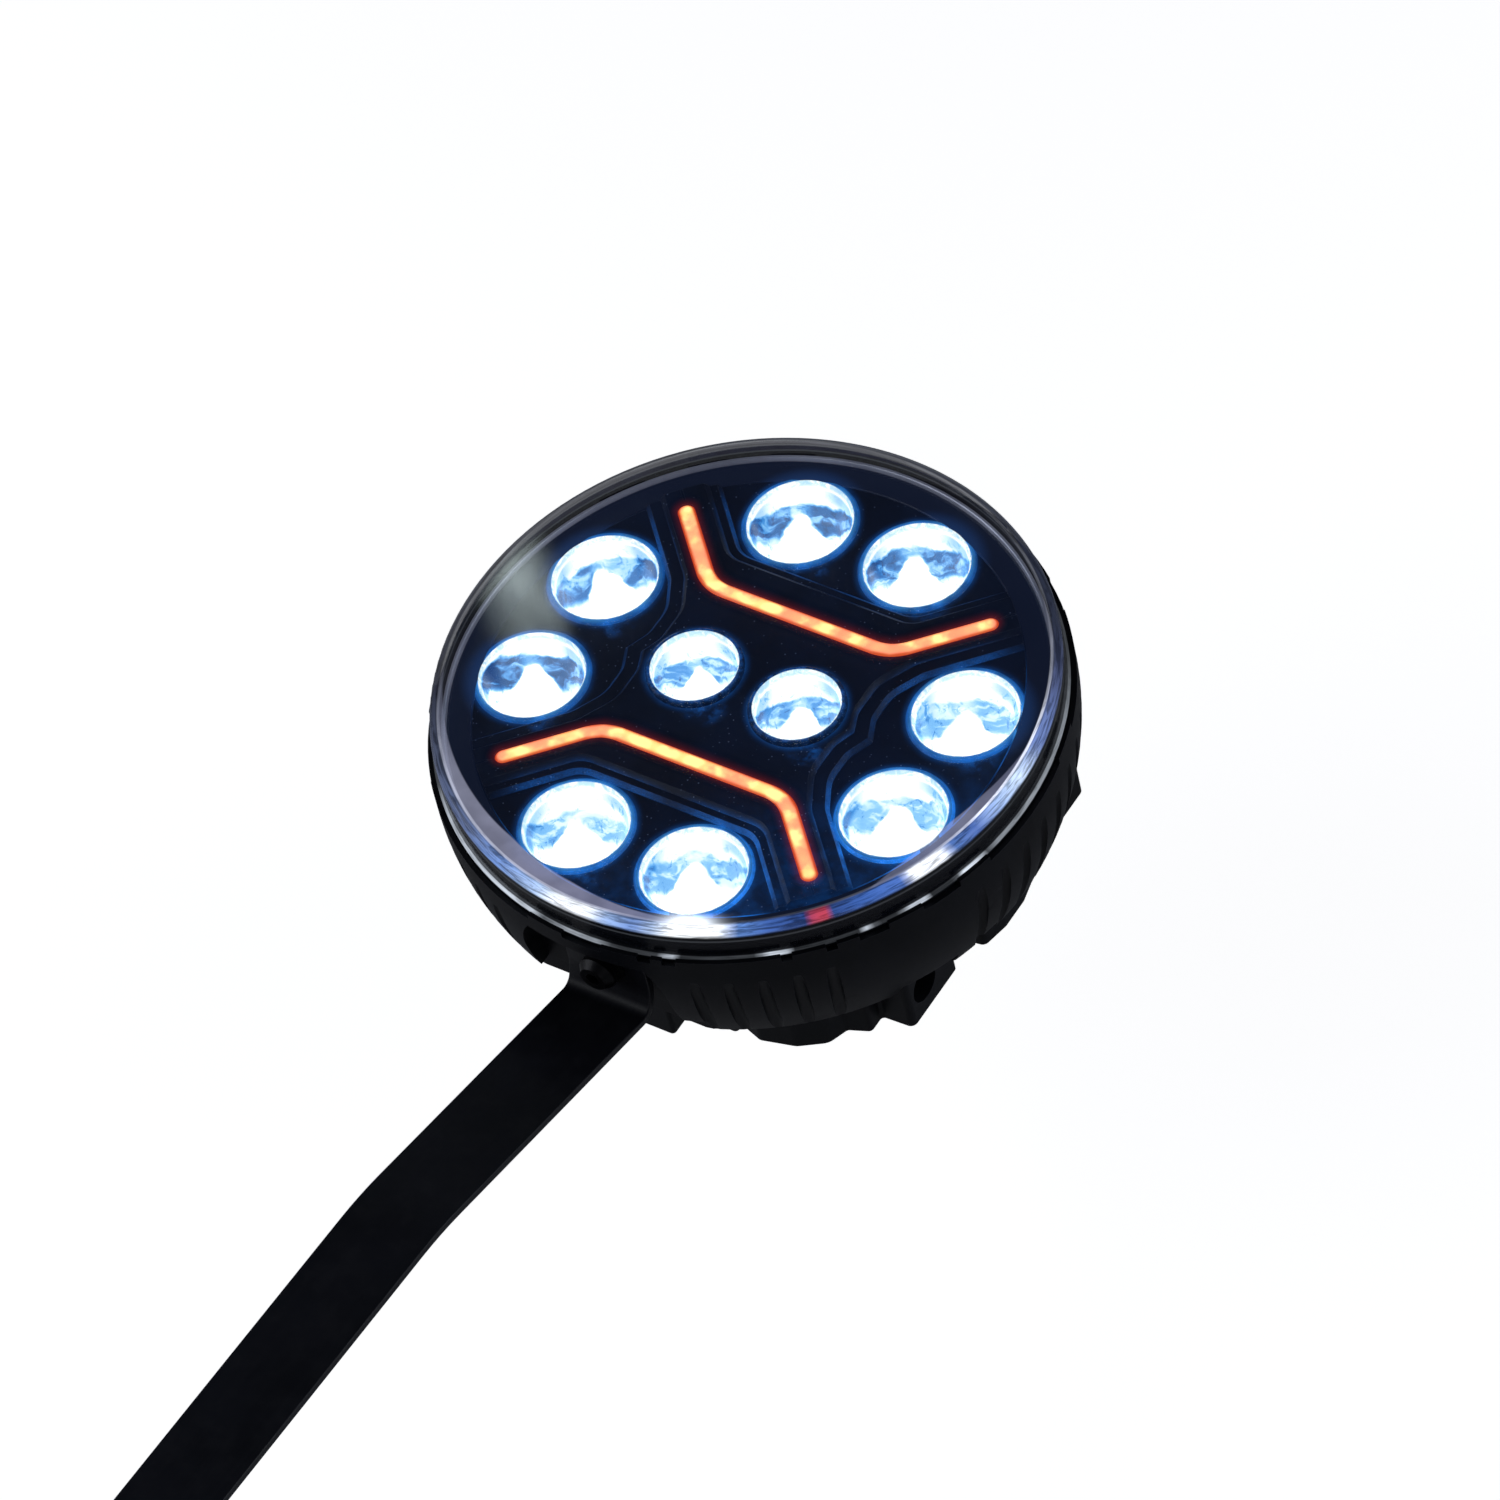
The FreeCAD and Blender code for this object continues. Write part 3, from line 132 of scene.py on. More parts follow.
class Tree:
    """Builds the nodes of one material or world."""

    PRINCIPLED = {"color": "Base Color", "metal": "Metallic", "rough": "Roughness",
                  "spec": "Specular IOR Level", "coat": "Coat Weight", "coat_rough": "Coat Roughness",
                  "normal": "Normal", "emit": "Emission Color", "emit_strength": "Emission Strength"}

    def __init__(self, owner, output_kind):
        self.owner = owner
        owner.use_nodes = True
        self.node_tree = owner.node_tree
        self.node_tree.nodes.clear()
        self.output = self.node_tree.nodes.new(output_kind)

    def node(self, kind, inputs=None, **settings):
        node = self.node_tree.nodes.new(kind)
        for name, value in settings.items():
            setattr(node, name, value)
        for key, value in (inputs or {}).items():
            socket = node.inputs[key]
            if isinstance(value, Number):
                value = value.socket
            if isinstance(value, bpy.types.NodeSocket):
                self.node_tree.links.new(value, socket)
            elif socket.type == "RGBA":
                socket.default_value = (*value, 1.0)
            else:
                socket.default_value = value
        return node

    def shader(self, kind, inputs=None):
        return self.node(kind, inputs).outputs[0]

    def math(self, operation, first, second=0.0, clamp=False):
        node = self.node("ShaderNodeMath", {0: first, 1: second, 2: 0.0},
                         operation=operation, use_clamp=clamp)
        return Number(self, node.outputs[0])

    def vector(self, operation, first, second=(0, 0, 0)):
        node = self.node("ShaderNodeVectorMath", {0: first, 1: second}, operation=operation)
        return node.outputs["Vector"]

    def measure(self, operation, first, second=(0, 0, 0)):
        """A dot product, length or distance."""
        node = self.node("ShaderNodeVectorMath", {0: first, 1: second}, operation=operation)
        return Number(self, node.outputs["Value"])

    def scale(self, vector, amount):
        node = self.node("ShaderNodeVectorMath", {0: vector, 3: amount}, operation="SCALE")
        return node.outputs["Vector"]

    def glow(self, *parts):
        """Sum of (color, amount) parts."""
        scaled = [self.scale(color, amount) for color, amount in parts]
        return reduce(lambda total, part: self.vector("ADD", total, part), scaled)

    def mix(self, amount, first, second):
        node = self.node("ShaderNodeMix", {0: amount, 6: first, 7: second},
                         data_type="RGBA", clamp_factor=True)
        return node.outputs[2]

    def ramp(self, fraction, stops):
        """A color ramp through (position, color) stops."""
        node = self.node("ShaderNodeValToRGB", {0: fraction})
        node.color_ramp.interpolation = "LINEAR"
        elements = node.color_ramp.elements
        elements[0].position, elements[1].position = stops[0][0], stops[-1][0]
        for position, _ in stops[1:-1]:
            elements.new(position)
        for i, (position, color) in enumerate(stops):
            elements[i].position = position
            elements[i].color = (*color, 1.0)
        return node.outputs["Color"]

    def object_point(self):
        return self.node("ShaderNodeTexCoord").outputs["Object"]

    def lamp_point(self):
        """The shaded point in the lamp's frame, mm."""
        inputs = {0: self.object_point(), 1: (1000, 1000, 1000), 2: (-LAMP.x, -LAMP.y, -LAMP.z)}
        return self.node("ShaderNodeVectorMath", inputs, operation="MULTIPLY_ADD").outputs["Vector"]

    def geometry(self, output):
        return self.node("ShaderNodeNewGeometry").outputs[output]

    def camera_ray(self):
        return Number(self, self.node("ShaderNodeLightPath").outputs["Is Camera Ray"])

    def split(self, vector):
        outputs = self.node("ShaderNodeSeparateXYZ", {0: vector}).outputs
        return [Number(self, outputs[i]) for i in range(3)]

    def combine(self, x, y, z):
        return self.node("ShaderNodeCombineXYZ", {0: x, 1: y, 2: z}).outputs[0]

    def noise(self, point, scale, detail=2.0, rough=0.5, distortion=0.0):
        node = self.node("ShaderNodeTexNoise", {"Vector": point, "Scale": scale, "Detail": detail,
                                                "Roughness": rough, "Distortion": distortion})
        return Number(self, node.outputs["Fac"])

    def cell_distance(self, point, scale):
        """Distance to the nearest of the randomly scattered Voronoi points."""
        node = self.node("ShaderNodeTexVoronoi",
                         {"Vector": point, "Scale": scale, "Randomness": 1.0}, feature="F1")
        return Number(self, node.outputs["Distance"])

    def bump(self, height, strength, distance):
        inputs = {"Height": height, "Strength": strength, "Distance": distance}
        return self.node("ShaderNodeBump", inputs).outputs["Normal"]

    def edges(self, radius, start=0.02, end=0.25):
        """1 on sharp edges, 0 on flats; start and end set how far the normals must part."""
        bevel = self.node("ShaderNodeBevel", {"Radius": radius}, samples=4).outputs["Normal"]
        agreement = self.measure("DOT_PRODUCT", bevel, self.geometry("Normal"))
        return (1.0 - agreement).fade(start, end)

    def principled(self, **values):
        return self.shader("ShaderNodeBsdfPrincipled",
                           {self.PRINCIPLED[name]: value for name, value in values.items()})

    def done(self, shader):
        self.node_tree.links.new(shader, self.output.inputs["Surface"])
        return self.owner


def material_tree(name):
    return Tree(bpy.data.materials.new(name), "ShaderNodeOutputMaterial")


def assign(names, material):
    for name in names:
        piece = NODES[name]
        if not piece.material_slots:
            piece.data.materials.append(material)
        for slot in piece.material_slots:
            slot.material = material


# ------------------------------------------------------------------ shared masks
def bar_segments(tree, point):
    """For each stretch of BAR_PATH: distance (mm) from it, fraction of it passed, its length."""
    x, y, _ = tree.split(point)
    quarter = tree.combine(abs(x), abs(y), 0.0)
    segments = []
    for start, end in zip(BAR_PATH, BAR_PATH[1:]):
        run = Vector((end[0] - start[0], end[1] - start[1], 0))
        offset = tree.vector("SUBTRACT", quarter, (*start, 0))
        passed = tree.math("MULTIPLY", tree.measure("DOT_PRODUCT", offset, tuple(run)),
                           1.0 / run.length_squared, clamp=True)
        across = tree.vector("SUBTRACT", offset, tree.scale(tuple(run), passed))
        segments.append((tree.measure("LENGTH", across), passed, run.length))
    return segments


def nearest(distances):
    return reduce(Number.minimum, distances)


def bar_distance(segments):
    """Distance (mm) from the nearer light bar's centre line."""
    return nearest([distance for distance, _, _ in segments])


def cup_gap(tree, point):
    """Distance (mm) outside the nearest reflector's rim, negative inside."""
    x, y, _ = tree.split(point)
    flat = tree.combine(x, y, 0.0)
    cups = ([(centre, OUTER_CUP_RADIUS) for centre in OUTER_CENTRES]
            + [(centre, INNER_CUP_RADIUS) for centre in INNER_CENTRES])
    return nearest([tree.measure("DISTANCE", flat, (*centre, 0.0)) - radius
                    for centre, radius in cups])


# ------------------------------------------------------------------ reflector cups
OUTER_STYLES = (        # seed, tilt (radians), darkness, lean and lift of the painted reflection pattern
    (1.3, 0.10, 0.48, 0.05, 0.0), (2.9, 0.05, 0.50, 0.0, -0.05), (4.1, 0.12, 0.95, -0.05, 0.05),
    (5.7, 0.10, 1.0, 0.0, 0.03), (6.2, 0.30, 0.90, 0.0, 0.05), (7.6, 0.0, 1.10, 0.0, 0.10),
    (8.8, 0.05, 0.50, 0.0, -0.05), (9.4, 0.05, 0.55, 0.0, 0.0),
)
INNER_STYLES = [(11.3 + 2.1 * i, 0.1, 0.70, 0.06, -0.12) for i in range(2)]
PAINTED_CUP_REFLECTION_COLORS = [           # brightness, color of the painted reflection: dark blue through cyan to over-bright white
    (0.0, (0.003, 0.03, 0.14)), (0.20, (0.008, 0.12, 0.40)), (0.38, (0.05, 0.29, 0.72)),
    (0.60, (0.27, 0.62, 0.98)), (0.76, (0.72, 0.95, 1.04)), (0.88, (1.06, 1.10, 1.08)),
    (1.0, (1.15, 1.15, 1.12))]
RIM_LINE_MIDDLE = 0.0   # the painted dark line inside the rim is missing around this place across the cup


def cup_material(name, centre, radius, rim_z, style):
    """Bright metallised cup with its reflections painted in as glow: white where the LED is mirrored,
    blue where it mirrors dark surroundings.

    Places across and up the cup are in cup radii, along the camera's right and up turned by the tilt.
    """
    seed, tilt, darkness, lean, lift = style
    tree = material_tree(name)
    point = tree.vector("SUBTRACT", tree.lamp_point(), (*centre, rim_z))
    right = CAMERA_RIGHT * math.cos(tilt) + CAMERA_UP * math.sin(tilt)
    up = CAMERA_UP * math.cos(tilt) - CAMERA_RIGHT * math.sin(tilt)
    true_across = tree.measure("DOT_PRODUCT", point, tuple(right / radius))
    true_height = tree.measure("DOT_PRODUCT", point, tuple(up / radius))
    x, y, _ = tree.split(point)
    flat = tree.combine(x, y, 0.0)
    outward = tree.measure("LENGTH", flat) / radius

    # the pattern's own coordinates, made uneven by noise
    seeded = tree.vector("ADD", tree.scale(point, 1.0 / radius), (seed * 3.7, seed * 1.9, seed * 5.3))
    shifted = tree.vector("ADD", seeded, (9.1, 2.2, 4.7))
    across = true_across + (tree.noise(seeded, scale=1.8, detail=3.0) - 0.5) * 0.42 - lean
    height = true_height + (tree.noise(shifted, scale=1.8, detail=3.0) - 0.5) * 0.36 - lift
    streak = tree.noise(tree.combine(across * 1.6, height * 3.4, seed * 2.3),
                        scale=1.15, detail=3.0, rough=0.52, distortion=0.9)
    fleck = tree.noise(tree.vector("ADD", seeded, (3.3, 7.7, 1.1)),
                       scale=4.6, detail=4.0, rough=0.7, distortion=0.8)

    # painted reflection: umbrella-shaped patch that mirrors the dark room
    dome = height + across * across * 0.34
    umbrella = dome.fade(0.34, 0.25) * height.fade(-0.46, -0.24)
    # painted highlight: bright tongue below its middle, widening downwards
    half_width = 0.11 + (0.06 - height).maximum(0.0) * 0.80
    tongue = (abs(across) - half_width).fade(0.07, -0.05) * height.fade(0.16, 0.02)
    shade = umbrella * (1.0 - tongue)
    shade = shade * streak.fade(0.36, 0.56, to=(0.40, 1.0))
    shade = shade * abs(across).fade(0.05, 0.34, to=(0.55, 1.0))
    # painted darker flecks at the bottom, and a thinner veil of them everywhere
    low = true_height.fade(-0.30, -0.62) * fleck.fade(0.52, 0.64, to=(0.0, 0.55))
    veil = fleck.fade(0.52, 0.70) * true_height.fade(0.62, 0.1, to=(0.02, 0.30))
    level = 0.97 - shade * (0.86 * darkness)
    level = level - low.maximum(veil) * (1.0 - tongue)
    level = level + tongue * umbrella * 0.2
    # painted shade: a darker line just inside the rim; painted highlight: the rolled rim itself a thin
    # cyan line
    rim_line = outward.fade(0.86, 0.915) * outward.fade(0.965, 0.945)
    rim_line = rim_line * abs(true_across - RIM_LINE_MIDDLE).fade(0.35, 0.8)
    level = level - rim_line * 0.30
    rim = outward.fade(0.955, 0.985)
    level = level * (1.0 - rim) + rim * fleck.fade(0.4, 0.6, to=(0.70, 0.92))

    # the painted reflection glows on the cup's inside; its outside gets a faint painted blue glow
    painted_reflection = tree.ramp(level, PAINTED_CUP_REFLECTION_COLORS)
    normal = tree.geometry("Normal")
    inward = 0.0 - tree.measure("DOT_PRODUCT", tree.vector("NORMALIZE", flat), normal)
    inside = inward.fade(-0.35, 0.05) * outward.fade(1.06, 1.03)
    boost = 1.0 + level.fade(0.86, 1.0) * 0.5
    outside = (1.0 - inside) * fleck.fade(0.35, 0.65, to=(0.15, 1.0))
    return tree.done(tree.principled(
        color=tree.mix(streak.fade(0.4, 0.6), (0.10, 0.14, 0.20), (0.06, 0.10, 0.16)),
        metal=1.0, rough=streak.fade(0.3, 0.7, to=(0.14, 0.30)),
        normal=tree.bump(tree.noise(point, scale=1.6, detail=3.0, rough=0.6),
                         strength=0.08, distance=0.0001),
        emit=tree.glow((painted_reflection, boost * inside), ((0.03, 0.17, 0.46), outside)), emit_strength=1.0))


for i, (centre, style) in enumerate(zip(OUTER_CENTRES, OUTER_STYLES), 1):
    assign([f"outer_reflector_{i}"],
           cup_material(f"metallised_cup_{i}", centre, OUTER_CUP_RADIUS, 0.0, style))
for i, (centre, style) in enumerate(zip(INNER_CENTRES, INNER_STYLES), 1):
    assign([f"inner_reflector_{i}"],
           cup_material(f"metallised_inner_cup_{i}", centre, INNER_CUP_RADIUS, INNER_RIM_Z, style))


# ------------------------------------------------------------------ LEDs
def led_material(name, color, phosphor, strength):
    tree = material_tree(name)
    point = tree.lamp_point()
    patches = tree.noise(point, scale=0.9, detail=3.0)
    grain = tree.noise(point, scale=3.0, detail=2.0)
    return tree.done(tree.principled(
        color=phosphor, rough=0.3, normal=tree.bump(grain, strength=0.1, distance=0.0001),
        emit=tree.mix(patches, color, phosphor),
        emit_strength=patches.fade(0.2, 0.8, to=(0.8, 1.2)) * strength))


assign(["outer_leds", "inner_leds"],
       led_material("white_led", color=(0.75, 0.9, 1.0), phosphor=(1.0, 0.95, 0.8), strength=9.0))
assign(["amber_leds_upper", "amber_leds_lower"],
       led_material("amber_led", color=(1.0, 0.45, 0.08), phosphor=(1.0, 0.6, 0.2), strength=5.0))


# ------------------------------------------------------------------ amber light bars
def bar_material():
    """Glowing guide: yellow spots along an orange core, with red flanks."""
    tree = material_tree("amber_guide")
    point = tree.lamp_point()
    segments = bar_segments(tree, point)
    distance = bar_distance(segments)
    along = reduce(Number.__add__, [passed * length for _, passed, length in segments])
    along = along + (tree.noise(point, scale=0.16, detail=3.0) - 0.5) * 9.0     # uneven spacing
    patchy = tree.noise(tree.vector("ADD", point, (31.0, 7.0, 0.0)), scale=0.085, detail=3.0)
    core = distance.fade(2.85, 1.6)
    heart = distance.fade(2.3, 0.6)

    spot = 0.5 + 0.5 * (along * (2 * math.pi / AMBER_SPOT_PITCH)).cosine()
    spot = spot * patchy.fade(0.38, 0.60, to=(0.12, 1.0))
    spot = spot * 1.15 + patchy.fade(0.36, 0.60, to=(0.14, 0.72))
    spot = (spot * (0.45 + heart * 0.55)).minimum(1.0)
    orange = tree.mix(patchy.fade(0.58, 0.44), (1.30, 0.47, 0.11), (1.22, 0.27, 0.17))
    color = tree.mix(spot, orange, (1.35, 1.12, 0.42))
    color = tree.mix(1.0 - core, color, (0.92, 0.075, 0.018))
    # the sides below the top are deep red and dimmer
    z = tree.split(point)[2]
    color = tree.mix(z.fade(1.9, 1.3), color, (0.34, 0.018, 0.006))
    return tree.done(tree.principled(
        color=(0.9, 0.35, 0.08), rough=0.35, coat=0.3,
        normal=tree.bump(tree.noise(point, scale=2.2, detail=2.0), strength=0.12, distance=0.0002),
        emit=color, emit_strength=z.fade(-0.9, 1.5, to=(0.25, 1.0)) * (0.72 + core * 0.38)))


assign(["amber_light_bar_upper", "amber_light_bar_lower"], bar_material())


# ------------------------------------------------------------------ face plate
def cup_leak(tree, point, x, y):
    """Patches of light that leak out on the camera's side of every cup."""
    sources = ([(centre, OUTER_CUP_RADIUS) for centre in OUTER_CENTRES]
               + [(centre, INNER_CUP_RADIUS + 2.0) for centre in INNER_CENTRES])
    reach = 1.06            # the patch's middle, in cup radii from the cup's
    gaps = []
    for (centre_x, centre_y), radius in sources:
        middle = (centre_x + FRONT_X * radius * reach, centre_y + FRONT_Y * radius * reach, 0.0)
        gaps.append(tree.measure("DISTANCE", tree.combine(x, y, 0.0), middle))
    patches = tree.noise(tree.vector("ADD", point, (5.0, 9.0, 0.0)), scale=0.16, detail=4.0, rough=0.65)
    return nearest(gaps).fade(9.5, 1.5) * patches.fade(0.44, 0.66, to=(0.06, 1.0))


def face_material():
    """Near-black plate with dust, painted highlights on its edges, and painted light from the cups
    (blue) and the bars (red).
    """
    tree = material_tree("face_plate")
    point = tree.lamp_point()
    x, y, z = tree.split(point)
    gap = cup_gap(tree, point)
    from_bar = bar_distance(bar_segments(tree, point))
    steep = tree.split(tree.geometry("Normal"))[2].fade(0.96, 0.80)
    big = tree.noise(point, scale=0.03, detail=4.0, rough=0.6)
    fine = tree.noise(point, scale=2.4, detail=3.0, rough=0.6)

    color = tree.mix(big, (0.0030, 0.0045, 0.011), (0.006, 0.008, 0.017))
    # painted highlight: lighter, patchy lines along the plate's sharp edges
    wear = tree.noise(point, scale=0.16, detail=3.0).fade(0.35, 0.65, to=(0.3, 1.0))
    lightened_edges = tree.edges(0.0006, start=0.015, end=0.16) * wear
    color = tree.mix(lightened_edges * 0.8, color, (0.10, 0.11, 0.14))
    dusty = tree.noise(point, scale=0.05, detail=3.0).fade(0.40, 0.58)
    speck = tree.cell_distance(point, scale=0.42).fade(0.15, 0.05) * dusty
    color = tree.mix(speck * 0.7, color, (0.30, 0.34, 0.46))

    # blue light around the cups and on the steep walls between them
    halo = gap.fade(5.2, 0.2, kind="LINEAR") ** 2.4
    wall = steep * gap.fade(17.0, 4.0) * z.fade(2.9, 0.4)
    off_bar = from_bar.fade(6.6, 7.6)
    blue = halo * 0.75 + wall * off_bar * fine.fade(0.3, 0.7, to=(0.10, 0.42))
    blue = blue * tree.noise(point, scale=0.10, detail=3.0).fade(0.3, 0.7, to=(0.55, 1.25))
    # light on the side nearest the camera
    near_patches = tree.noise(point, scale=0.11, detail=4.0, rough=0.65)
    near_front = (tree.measure("DOT_PRODUCT", point, (FRONT_X, FRONT_Y, 0.0)).fade(38.0, 92.0)
                  * near_patches.fade(0.36, 0.68, to=(0.25, 1.0)))
    blue = blue + near_front * (0.15 + wall * 1.1)
    blue = blue + cup_leak(tree, point, x, y) * 0.38
    # red light of the bars in their troughs
    red = from_bar.fade(6.6, 3.0, kind="LINEAR") ** 2.5 * 0.16
    # painted light: a faint blue glow over the whole plate, a brighter one just outside each cup's rim,
    # and a faint one on the dust specks
    ambient = big.fade(0.3, 0.7, to=(0.5, 1.1))
    rim_patches = tree.noise(point, scale=0.09, detail=3.0).fade(0.35, 0.65, to=(0.35, 1.2))
    emit = tree.glow(((0.010, 0.15, 0.62), blue), ((0.55, 0.025, 0.012), red),
                     ((0.0012, 0.0036, 0.0135), ambient),
                     ((0.035, 0.17, 0.34), gap.fade(2.4, 0.1) * rim_patches),
                     ((0.012, 0.020, 0.045), speck))
    return tree.done(tree.principled(
        color=color, rough=0.34 + (fine * 0.12 + big * 0.12),
        spec=from_bar.fade(5.0, 9.0, to=(0.08, 0.30)), coat=0.0, coat_rough=0.2,
        normal=tree.bump(fine, strength=0.10, distance=0.00012), emit=emit, emit_strength=1.0))


assign(["face_plate"], face_material())

# ------------------------------------------------------------------ clear cover
# Tables below, for the painted reflections and painted piped light on the cover: degrees around the
# axis from the side facing the camera, positive to the camera's right, then a color or a grey level.
CRESCENT_INNER_EDGE = (     # level 0..1 stands for a radius of 90..110 mm
    (-180, 1.0), (-118, 1.0), (-105, 0.80), (-82, 0.48), (-68, 0.31), (-50, 0.27), (-30, 0.37),
    (-22, 0.45), (-17, 1.0), (8, 1.0), (12, 0.47), (20, 0.30), (28, 0.21), (36, 0.22), (45, 0.33),
    (60, 0.60), (72, 0.85), (84, 1.0), (180, 1.0))
CRESCENT_COLORS = (
    (-118, (0.02, 0.02, 0.03)), (-104, (0.10, 0.11, 0.16)), (-85, (0.24, 0.25, 0.34)),
    (-60, (0.24, 0.245, 0.35)), (-35, (0.22, 0.23, 0.36)), (-18, (0.06, 0.10, 0.25)),
    (10, (0.05, 0.07, 0.15)), (20, (0.12, 0.13, 0.2)), (32, (0.20, 0.21, 0.30)),
    (50, (0.16, 0.17, 0.26)), (75, (0.05, 0.06, 0.1)), (84, (0.01, 0.01, 0.02)))
SHOULDER_COLORS = (
    (-180, (0.012, 0.014, 0.022)), (-110, (0.02, 0.022, 0.035)), (-92, (0.06, 0.075, 0.13)),
    (-76, (0.10, 0.14, 0.28)), (-64, (0.15, 0.27, 0.62)), (-54, (0.45, 0.62, 0.95)),
    (-50, (1.0, 1.05, 1.15)), (-43, (1.0, 1.05, 1.15)), (-39, (0.34, 0.5, 0.85)),
    (-33, (0.15, 0.26, 0.60)), (-29, (0.5, 0.65, 0.95)), (-26, (1.25, 1.3, 1.35)),
    (-17, (1.25, 1.3, 1.35)), (-13, (0.12, 0.26, 0.65)), (-7, (0.05, 0.12, 0.40)),
    (0.4, (0.02, 0.05, 0.20)), (1.6, (0.46, 0.05, 0.09)), (4.3, (0.46, 0.05, 0.09)),
    (5.6, (0.03, 0.07, 0.25)), (12, (0.045, 0.12, 0.42)), (20.5, (0.07, 0.16, 0.5)),
    (22.5, (1.15, 1.2, 1.3)), (29, (1.15, 1.2, 1.3)), (31.5, (0.08, 0.17, 0.46)),
    (38, (0.07, 0.14, 0.42)), (45, (0.35, 0.5, 0.85)), (52, (0.6, 0.75, 1.0)),
    (60, (0.16, 0.24, 0.55)), (74, (0.06, 0.08, 0.18)), (88, (0.02, 0.025, 0.045)),
    (180, (0.012, 0.014, 0.022)))
CREASE_LEVELS = (
    (-180, 0.02), (-108, 0.05), (-80, 0.30), (-40, 0.22), (-30, 0.04), (-6, 0.03), (6, 0.05),
    (26, 0.10), (34, 0.35), (40, 0.95), (62, 0.90), (72, 0.40), (90, 0.10), (180, 0.02))
FLANGE_LEVELS = (
    (-180, 0.05), (-100, 0.04), (-88, 0.10), (-80, 0.55), (-52, 0.75), (-49, 0.12), (-45, 0.35),
    (-38, 0.40), (-35, 0.05), (-26, 0.05), (-24.5, 0.8), (-23, 0.04), (-9, 0.05), (-7, 0.8),
    (-4.5, 0.75), (-3, 0.03), (8.6, 0.04), (10, 0.9), (11.4, 0.03), (16.5, 0.05), (18, 0.85),
    (21, 0.8), (22.5, 0.03), (28, 0.04), (29.5, 0.9), (33, 0.8), (35, 0.06), (38, 0.30),
    (66, 0.35), (78, 0.08), (95, 0.04), (180, 0.05))


def color_around(tree, turn, table):
    return tree.ramp(turn, [(0.5 + degrees / 360.0, color) for degrees, color in table])


def level_around(tree, turn, table):
    greys = [(degrees, (level, level, level)) for degrees, level in table]
    return Number(tree, color_around(tree, turn, greys))


def seen_behind(tree, point):
    """Turn (0..1, 0.5 faces the camera) and radius of the point that the camera sees behind this one.

    The point seen lies on the face plate's plane.
    """
    x, y, z = tree.split(point)
    back = (z + 0.7) / VIEW_SLOPE
    seen = tree.vector("ADD", tree.combine(x, y, 0.0), tree.scale(tuple(-FRONT), back))
    toward_front = tree.measure("DOT_PRODUCT", seen, tuple(FRONT))
    toward_side = tree.measure("DOT_PRODUCT", seen, tuple(SIDE))
    turn = 0.5 + toward_side.arctan2(toward_front) / (2 * math.pi)
    return turn, tree.measure("LENGTH", seen)


def clear_plastic(tree, point, normal):
    """Slightly hazy and scratched clear plastic."""
    ior = 1.5
    backfacing = Number(tree, tree.geometry("Backfacing"))
    both_faces = ior - backfacing * (ior - 1 / ior)     # same reflectance on both faces of the wall
    fresnel = tree.node("ShaderNodeFresnel", {"IOR": both_faces}).outputs[0]
    haze = tree.noise(point, scale=0.05, detail=5.0, rough=0.65)
    scratch = tree.noise(tree.vector("MULTIPLY", point, (0.05, 1.3, 1.0)), scale=1.0, detail=2.0)
    rough = 0.045 + (haze.fade(0.45, 0.75) * 0.03 + scratch.fade(0.62, 0.72) * 0.004)
    gloss = tree.shader("ShaderNodeBsdfGlossy",
                        {"Color": (1, 1, 1), "Roughness": rough, "Normal": normal})
    clear = tree.shader("ShaderNodeBsdfTransparent", {"Color": (0.955, 0.965, 0.97)})
    return tree.shader("ShaderNodeMixShader", {0: fresnel, 1: clear, 2: gloss})


def camera_view(tree):
    """1 seen from the camera's side with the head upright; 0 when the head is tilted."""
    toward = tree.measure("DOT_PRODUCT", tree.geometry("Incoming"), tuple(CAMERA_BACK))
    axis = tree.node("ShaderNodeVectorTransform", {0: (0.0, 0.0, 1.0)}, vector_type="VECTOR",
                     convert_from="OBJECT", convert_to="WORLD").outputs[0]
    upright = tree.measure("DOT_PRODUCT", tree.vector("NORMALIZE", axis), (0.0, 0.0, 1.0))
    return toward.fade(0.86, 0.97) * upright.fade(0.97, 0.995)


def top_streaks(tree, turn, seen_radius, top):
    """Streaks where the nearest cups and a bar are mirrored on the flat top: white and red amounts."""
    degrees = (turn - 0.5) * 360.0

    def bell(centre, width):
        offset = (degrees - centre) / width
        return (offset * offset * -1.0).exponential()

    white = (bell(-22.5, 4.4) * seen_radius.fade(94.0, 99.0)
             + bell(27.5, 2.4) * seen_radius.fade(99.5, 102.0, to=(0.0, 0.9)))
    white = white + bell(-42.0, 5.0) * seen_radius.fade(100.5, 103.0, to=(0.0, 0.5))
    band = seen_radius.fade(99.6, 100.6) * seen_radius.fade(105.6, 104.6)
    return white * top * 1.9, bell(3.2, 1.8) * band * top


